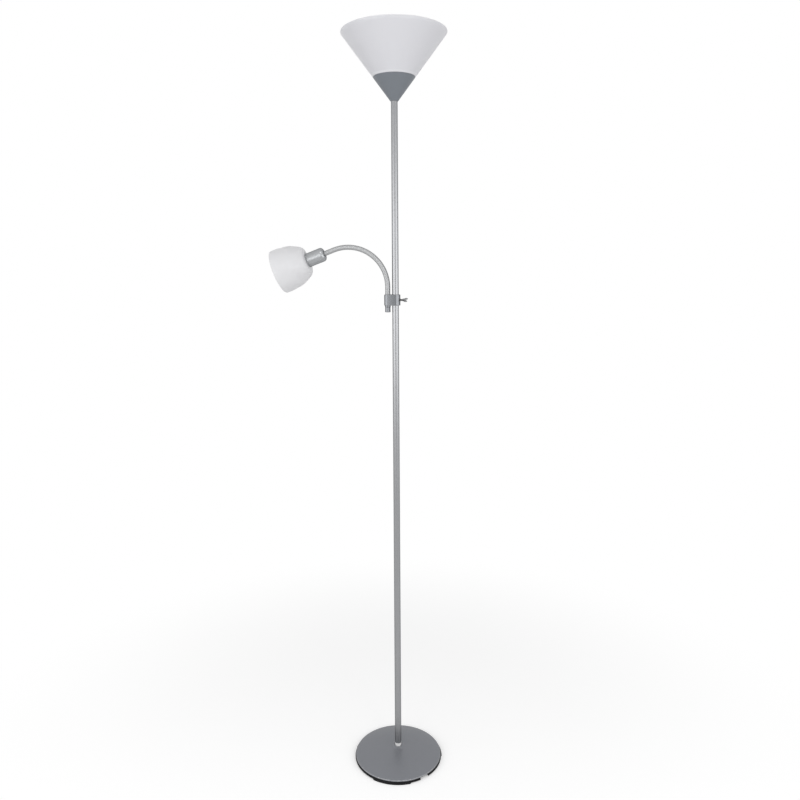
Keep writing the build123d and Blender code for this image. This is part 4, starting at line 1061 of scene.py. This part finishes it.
class LAMP_OT_bracket(bpy.types.Operator):
    """Clamp block on the pole, its wing screw and the long nut under it"""

    bl_idname = "lamp.bracket"
    bl_label = "Bracket"

    def execute(self, context):
        sizes = context.scene.lamp_sizes
        self.make_block(sizes)
        self.make_nut(sizes)
        self.make_wing_screw()
        nylon = coated("liner nylon", (0.72, 0.72, 0.68), 0.45, grain=0.04, bump=0.05, handling=0.05)
        nickel = bright_metal("nickelled brass", 0.38, (0.17, 0.167, 0.16))
        dress(nylon, "bracket_liner", "clamp_pad")
        dress(nickel, "clamp_insert")
        return {"FINISHED"}

    def make_block(self, sizes):
        """Block: the hull of a circle round the pole and two smaller ones at the arm, moved in by an
        inset. At normal angle a its edge point is centre + (R - inset) (cos a, sin a), on whichever
        circle reaches further that way. Top and foot run from that edge to the pole's bore. A short
        cone under it holds the long nut.
        """
        cone_low = LOW["bracket"].z
        low, high = cone_low + BLOCK_RISE, HIGH["bracket"].z
        arm_x = arm_axis_x(sizes)
        big, small, chamfer = sizes.eye_radius, sizes.arm_eye_radius, 0.4 * MM
        section, into = rounded(
            [(-2.0 * MM, low), (0, low), (0, high), (-2.0 * MM, high)], np.array([0, 0.9, 0.9, 0]) * MM, 8
        )
        a = np.linspace(0, 2 * np.pi, 144, endpoint=False)[None]
        on_arm = np.cos(a) < 0
        corner_y = np.sign(np.sin(a)) * (big - small)
        inset, z = -section[:, :1], section[:, 1:]
        x = np.where(on_arm, arm_x + (small - inset) * np.cos(a), (big - inset) * np.cos(a))
        y = np.where(on_arm, corner_y + (small - inset) * np.sin(a), (big - inset) * np.sin(a))
        edge_rows = np.stack([x, y, np.broadcast_to(z, x.shape)], -1)
        r = np.array([EYE_BORE + chamfer, EYE_BORE, EYE_BORE, EYE_BORE + chamfer])[:, None]
        bore_z = np.array([high, high - chamfer, low + chamfer, low])[:, None]
        bore_rows = np.stack([r * np.cos(a), r * np.sin(a), np.broadcast_to(bore_z, (4, a.size))], -1)
        points = np.concatenate([edge_rows, bore_rows])
        block = shell(points, np.concatenate([into, np.full(4, 0.3)]))
        outline, cone_into = rounded(
            [(0.5 * MM, cone_low), (6.7 * MM, cone_low), (7.4 * MM, low), (7.2 * MM, low + 1 * MM),
             (0.5 * MM, low + 1 * MM)],
            np.array([0, 0.4, 0, 0, 0]) * MM,
        )
        cone = turned(outline, cone_into, (arm_x, 0, 0), columns=72)
        build("block", [block, cone], "arm_bracket", ["bracket"], bracket_plastic())

    def make_nut(self, sizes):
        """Long round nut: bore, rounded foot, side."""
        low, high = LOW["gooseneck_nut"].z, HIGH["gooseneck_nut"].z
        outer = sizes.neck_radius + 0.25 * MM
        outline, into = rounded(
            [(THREAD_BORE, low), (outer, low), (outer, high), (THREAD_BORE, high)],
            np.array([0.3, 1.0, 0.3, 0.1]) * MM,
        )
        nut = turned(outline, into, (arm_axis_x(sizes), 0, 0), columns=72)
        build("long_nut", [nut], "arm_bracket", ["gooseneck_nut"], bracket_plastic())

    def make_wing_screw(self):
        """Outline of the threaded shank and hub, turned about X, and two ears."""
        z = (LOW["bracket"].z + BLOCK_RISE + HIGH["bracket"].z) / 2
        tip, hub, shank = LOW["wing_screw"].x, 17.5 * MM, 2.5 * MM
        on_axis, hub_r, hub_end = 0.01 * MM, 3.4 * MM, hub + 5 * MM
        run = np.linspace(tip, hub, 120)[1:-1]
        corners = np.concatenate([
            [(on_axis, tip), (shank, tip)],
            upright(shank, run),
            [(shank, hub), (2.8 * MM, hub), (hub_r, hub + 1.2 * MM), (hub_r, hub + 4 * MM),
             (2.4 * MM, hub_end), (on_axis, hub_end)],
        ])
        outline, into = softened(corners, {-5: 0.35, -4: 0.35, -3: 0.35, -2: 0.35})
        screw = turned(outline, into, (0, 0, z), ALONG_X, 48, thread(tip, hub, shank, 0.8 * MM, 0.45 * MM))
        shells = [screw] + [self.ear(hub, side, z) for side in (1, -1)]
        zinc = bright_metal("screw zinc", 0.4, (0.20, 0.20, 0.205))
        build("wing_screw_cast", shells, "clamp_screw", ["wing_screw"], zinc)

    def ear(self, x, side, z):
        """One ear, a pillow: its outline shrinks to its middle by |cos v|^0.35 while its thickness
        goes as |sin v|^0.7. It is turned about the screw's axis by its tilt.
        """
        span, reach, tilt, half_thick = 11.5 * MM, 12.0 * MM, math.radians(17.5), 1.6 * MM
        line = np.array([
            (0.6 * MM, 1.6 * MM), (reach * 0.26, span * 0.62), (reach * 0.66, span),
            (reach, span * 0.80), (reach * 0.86, span * 0.52), (4.6 * MM, 1.6 * MM),
        ])
        rim = through(np.concatenate([line, line[:1]]), (0.2, 1.0), (-0.6, -0.4), 61)[:-1]
        if side > 0:
            rim = rim[::-1]
        rim = rim * (1, side) + (x, 0)
        middle = rim.mean(0)
        v = np.linspace(-math.pi / 2, math.pi / 2, 15)[:, None, None]
        open_row = np.where(np.abs(v) > 1.57, 0, 1)  # the first and last row are single points
        flat = middle + (rim - middle)[None] * np.abs(np.cos(v)) ** 0.35 * open_row
        thick = half_thick * np.sign(np.sin(v)) * np.abs(np.sin(v)) ** 0.7
        y, w = flat[..., 1], np.broadcast_to(thick[..., 0], flat[..., 1].shape)
        points = np.stack([
            flat[..., 0],
            y * math.cos(tilt) - w * math.sin(tilt),
            z + y * math.sin(tilt) + w * math.cos(tilt),
        ], -1)
        edge = np.abs(np.cos(v[:, 0, 0])) ** 2
        return shell(points, edge, rows_meet=False)


class LAMP_OT_gooseneck(bpy.types.Operator):
    """Wound steel gooseneck, in one stretch for each joint"""

    bl_idname = "lamp.gooseneck"
    bl_label = "Gooseneck"

    def execute(self, context):
        sizes = context.scene.lamp_sizes
        step = sizes.neck_bend_radius * sizes.neck_bend / NECK_STEPS
        cuts = NECK_LOW + step * np.arange(NECK_STEPS + 1)
        cuts[0], cuts[-1] = 0.0, neck_total()
        bodies = ["arm_bracket"] + [f"neck_{k}" for k in range(1, NECK_STEPS)] + ["reading_head"]
        for k in range(NECK_STEPS):
            nodes = [f"gooseneck_{k + 1}"] + (["gooseneck_0"] if k == 0 else [])
            from_s = max(cuts[k], NECK_LOW)
            to_s = min(cuts[k + 1], neck_total() - NECK_HIGH)
            start, end = (tuple(neck_line(s)[0]) for s in (from_s, to_s))
            bend = (bodies[k], bodies[k + 1], start, end)
            if k == 1:  # the same bend, named from its upper end: this order leaves no step at the limits
                bend = (bodies[k + 1], bodies[k], end, start)
            winding = self.stretch(sizes, cuts[k], cuts[k + 1])
            build(f"winding_{k + 1}", [winding], None, nodes, gooseneck_steel(), bend)
        dress(thread_steel(), "gooseneck_end_lower", "gooseneck_end_upper")
        return {"FINISHED"}

    def stretch(self, sizes, low, high):
        """Tube round the centreline: point + r (cos a side + sin a Y), where r dips by the groove's depth
        times ((1 + cos phase) / 2)^3, and the phase is 2 pi s / pitch less the angle a.
        """
        columns, rows_a_turn, edge = 56, 14, 0.01 * MM
        count = int(round((high - low) / sizes.neck_pitch * rows_a_turn))
        s = np.linspace(low, high, count)
        s = np.concatenate([s[:1], [low + edge], s[1:-1], [high - edge], s[-1:]])
        point, along = neck_line(s)
        side = np.cross(ALONG_Y, along)
        a = np.linspace(0, 2 * np.pi, columns, endpoint=False)[None, :, None]
        phase = 2 * np.pi * s[:, None, None] / sizes.neck_pitch - a
        r = sizes.neck_radius - sizes.neck_groove * (0.5 + 0.5 * np.cos(phase)) ** 3
        rings = point[:, None] + r * (np.cos(a) * side[:, None] + np.sin(a) * ALONG_Y)
        ends = np.broadcast_to(point[[0, -1], None], (2, columns, 3))
        points = np.concatenate([ends[:1], rings, ends[1:]])
        return shell(points, 0.0, rows_meet=False)


class LAMP_OT_reading_head(bpy.types.Operator):
    """Silver housing, frosted bell, small lampholder and bulb"""

    bl_idname = "lamp.reading_head"
    bl_label = "Reading head"

    def execute(self, context):
        sizes = context.scene.lamp_sizes
        self.origin, self.axis = neck_line(neck_total())
        self.make_housing(sizes)
        self.make_bell(context, sizes)
        self.make_lampholder()
        self.make_bulb()
        dress(thread_steel(), "head_nut")
        dress(white_plastic(), "reading_shade_ring")
        dress(bulb_metal(), "reading_bulb_cap")
        return {"FINISHED"}

    def make_housing(self, sizes):
        """Outline: hole, flat back, quarter-round shoulder, side, open end, inside."""
        outer, wall, long, bend = sizes.housing_radius, 1.8 * MM, 46.2 * MM, 8.0 * MM
        inner, centre = outer - wall, outer - bend
        middle, inside_middle = bend * math.sqrt(0.5), (bend - wall) * math.sqrt(0.5)
        side = np.linspace(bend, long, 8)[1:-1]
        shoulder = arc((centre, 0), (centre + middle, bend - middle), (outer, bend), 20)
        within = arc((inner, bend), (centre + inside_middle, bend - inside_middle), (centre, wall), 12)
        corners = np.concatenate([
            [(THREAD_HOLE, 0)], shoulder, upright(outer, side),
            [(outer, long), (inner, long)], within, [(THREAD_HOLE, wall)],
        ])
        end = 1 + len(shoulder) + len(side)
        outline, into = softened(corners, {end: 0.45, end + 1: 0.45})
        housing = turned(outline, into, self.origin, self.axis, 112)
        build("housing", [housing], "reading_head", ["reading_housing"], housing_lacquer())

    def make_bell(self, context, sizes):
        """Outline: smooth side line through six points from the flat back to the rim, round rim, the
        same line one wall further in, and the hole for the lampholder.

        A point of the inner line is an inset nearer to the axis and a share of it nearer to the rim.
        """
        back_u, rim_u, wall = BELL_SEAT, 124.2 * MM, sizes.bell_wall
        grow = sizes.bell_radius / (55.0 * MM)
        r = np.array([29.0, 44.6, 50.4, 53.6, 55.3, 55.0]) * MM * grow
        u = back_u + np.array([0.0, 18.0, 31.0, 48.0, 66.0, (rim_u - back_u) / MM]) * MM
        share = np.array([1.0, 0.35, 0.2, 0.1, 0.0, 0.0])

        def line(inset):
            return through(np.stack([r - inset, u + share * inset], 1), (1.0, 0.05), (-0.05, 1.0), 70)

        over, under = line(0), line(wall)
        rim = arc(over[-1], (over[-1] + under[-1]) / 2 + (0, wall / 2), under[-1], 11)
        hole = 14.15 * MM
        corners = np.concatenate([[(hole, back_u)], over[:-1], rim, under[::-1][1:], [(hole, back_u + wall)]])
        outline, into = softened(corners, {0: 0.4, -1: 0.4})
        # painted darker rim line, partly wear: the rim takes the edge tint
        into = np.maximum(into, RIM_LINE_AND_WEAR * (outline[:, 1] > rim_u + 0.3 * MM))
        bell = turned(outline, into, self.origin, self.axis, 160)
        material = frosted("frosted bell", context.scene.lamp_finishes.frosted_bell)
        build("bell", [bell], "reading_head", ["reading_shade"], material)

    def make_lampholder(self):
        """Outline of the small lampholder, with a screw thread on its skirt."""
        low, high, seat, skirt, bore = 11.0 * MM, 62.0 * MM, BELL_SEAT, 14.0 * MM, 7.4 * MM
        body, flange, flange_low, bore_end = 13.0 * MM, 15.4 * MM, seat - 2.5 * MM, high - 20 * MM
        side = np.linspace(seat, high - 0.8 * MM, 90)
        corners = np.concatenate([
            [(LEAD_HOLE, low), (10.0 * MM, low), (body, low + 7 * MM), (body, flange_low),
             (flange, flange_low), (flange, seat)],
            upright(skirt, side),
            [(skirt, high), (bore, high), (bore, bore_end), (LEAD_HOLE, bore_end)],
        ])
        outline, into = softened(corners, {1: 0.4, 2: 0.4, 4: 0.4, 5: 0.4, -4: 0.35, -3: 0.35})
        ridge = thread(seat, high, skirt, 2.0 * MM, 0.6 * MM)
        holder = turned(outline, into, self.origin, self.axis, 80, ridge)
        nodes = ["reading_lampholder"]
        build("small_lampholder", [holder], "reading_head", nodes, white_plastic())

    def make_bulb(self):
        """Globe bulb on the small screw cap."""
        low, high, radius = 43.0 * MM, 112.0 * MM, 20.0 * MM
        ball = globe(low, high, 20.0 * MM, 6.9 * MM, radius, self.origin, self.axis)
        build("small_bulb", [ball], "reading_head", ["reading_bulb"], opal_glass())


# ---- Panel, registration -------------------------------------------------------------
OPERATORS = (
    LAMP_OT_stage, LAMP_OT_base, LAMP_OT_pole, LAMP_OT_torchiere, LAMP_OT_bracket, LAMP_OT_gooseneck,
    LAMP_OT_reading_head,
)


class LAMP_PT_panel(bpy.types.Panel):
    """Lists the lamp's pieces, sizes and finishes"""

    bl_label = "Floor lamp"
    bl_idname = "LAMP_PT_panel"
    bl_space_type = "VIEW_3D"
    bl_region_type = "UI"
    bl_category = "Floor lamp"

    def draw(self, context):
        for operator in OPERATORS:
            self.layout.operator(operator.bl_idname)
        for group in (context.scene.lamp_sizes, context.scene.lamp_finishes, context.scene.lamp_stage):
            box = self.layout.box()
            for key in group.__annotations__:
                box.prop(group, key)


CLASSES = (LampSizes, LampFinishes, LampStage, *OPERATORS, LAMP_PT_panel)


def register():
    for item in CLASSES:
        bpy.utils.register_class(item)
    bpy.types.Scene.lamp_sizes = PointerProperty(type=LampSizes)
    bpy.types.Scene.lamp_finishes = PointerProperty(type=LampFinishes)
    bpy.types.Scene.lamp_stage = PointerProperty(type=LampStage)


def unregister():
    for name in ("lamp_sizes", "lamp_finishes", "lamp_stage"):
        delattr(bpy.types.Scene, name)
    for item in reversed(CLASSES):
        bpy.utils.unregister_class(item)


def main():
    register()
    bpy.ops.lamp.stage()
    bpy.ops.lamp.base()
    bpy.ops.lamp.pole()
    bpy.ops.lamp.torchiere()
    bpy.ops.lamp.bracket()
    bpy.ops.lamp.gooseneck()
    bpy.ops.lamp.reading_head()


if __name__ == "__main__":
    main()
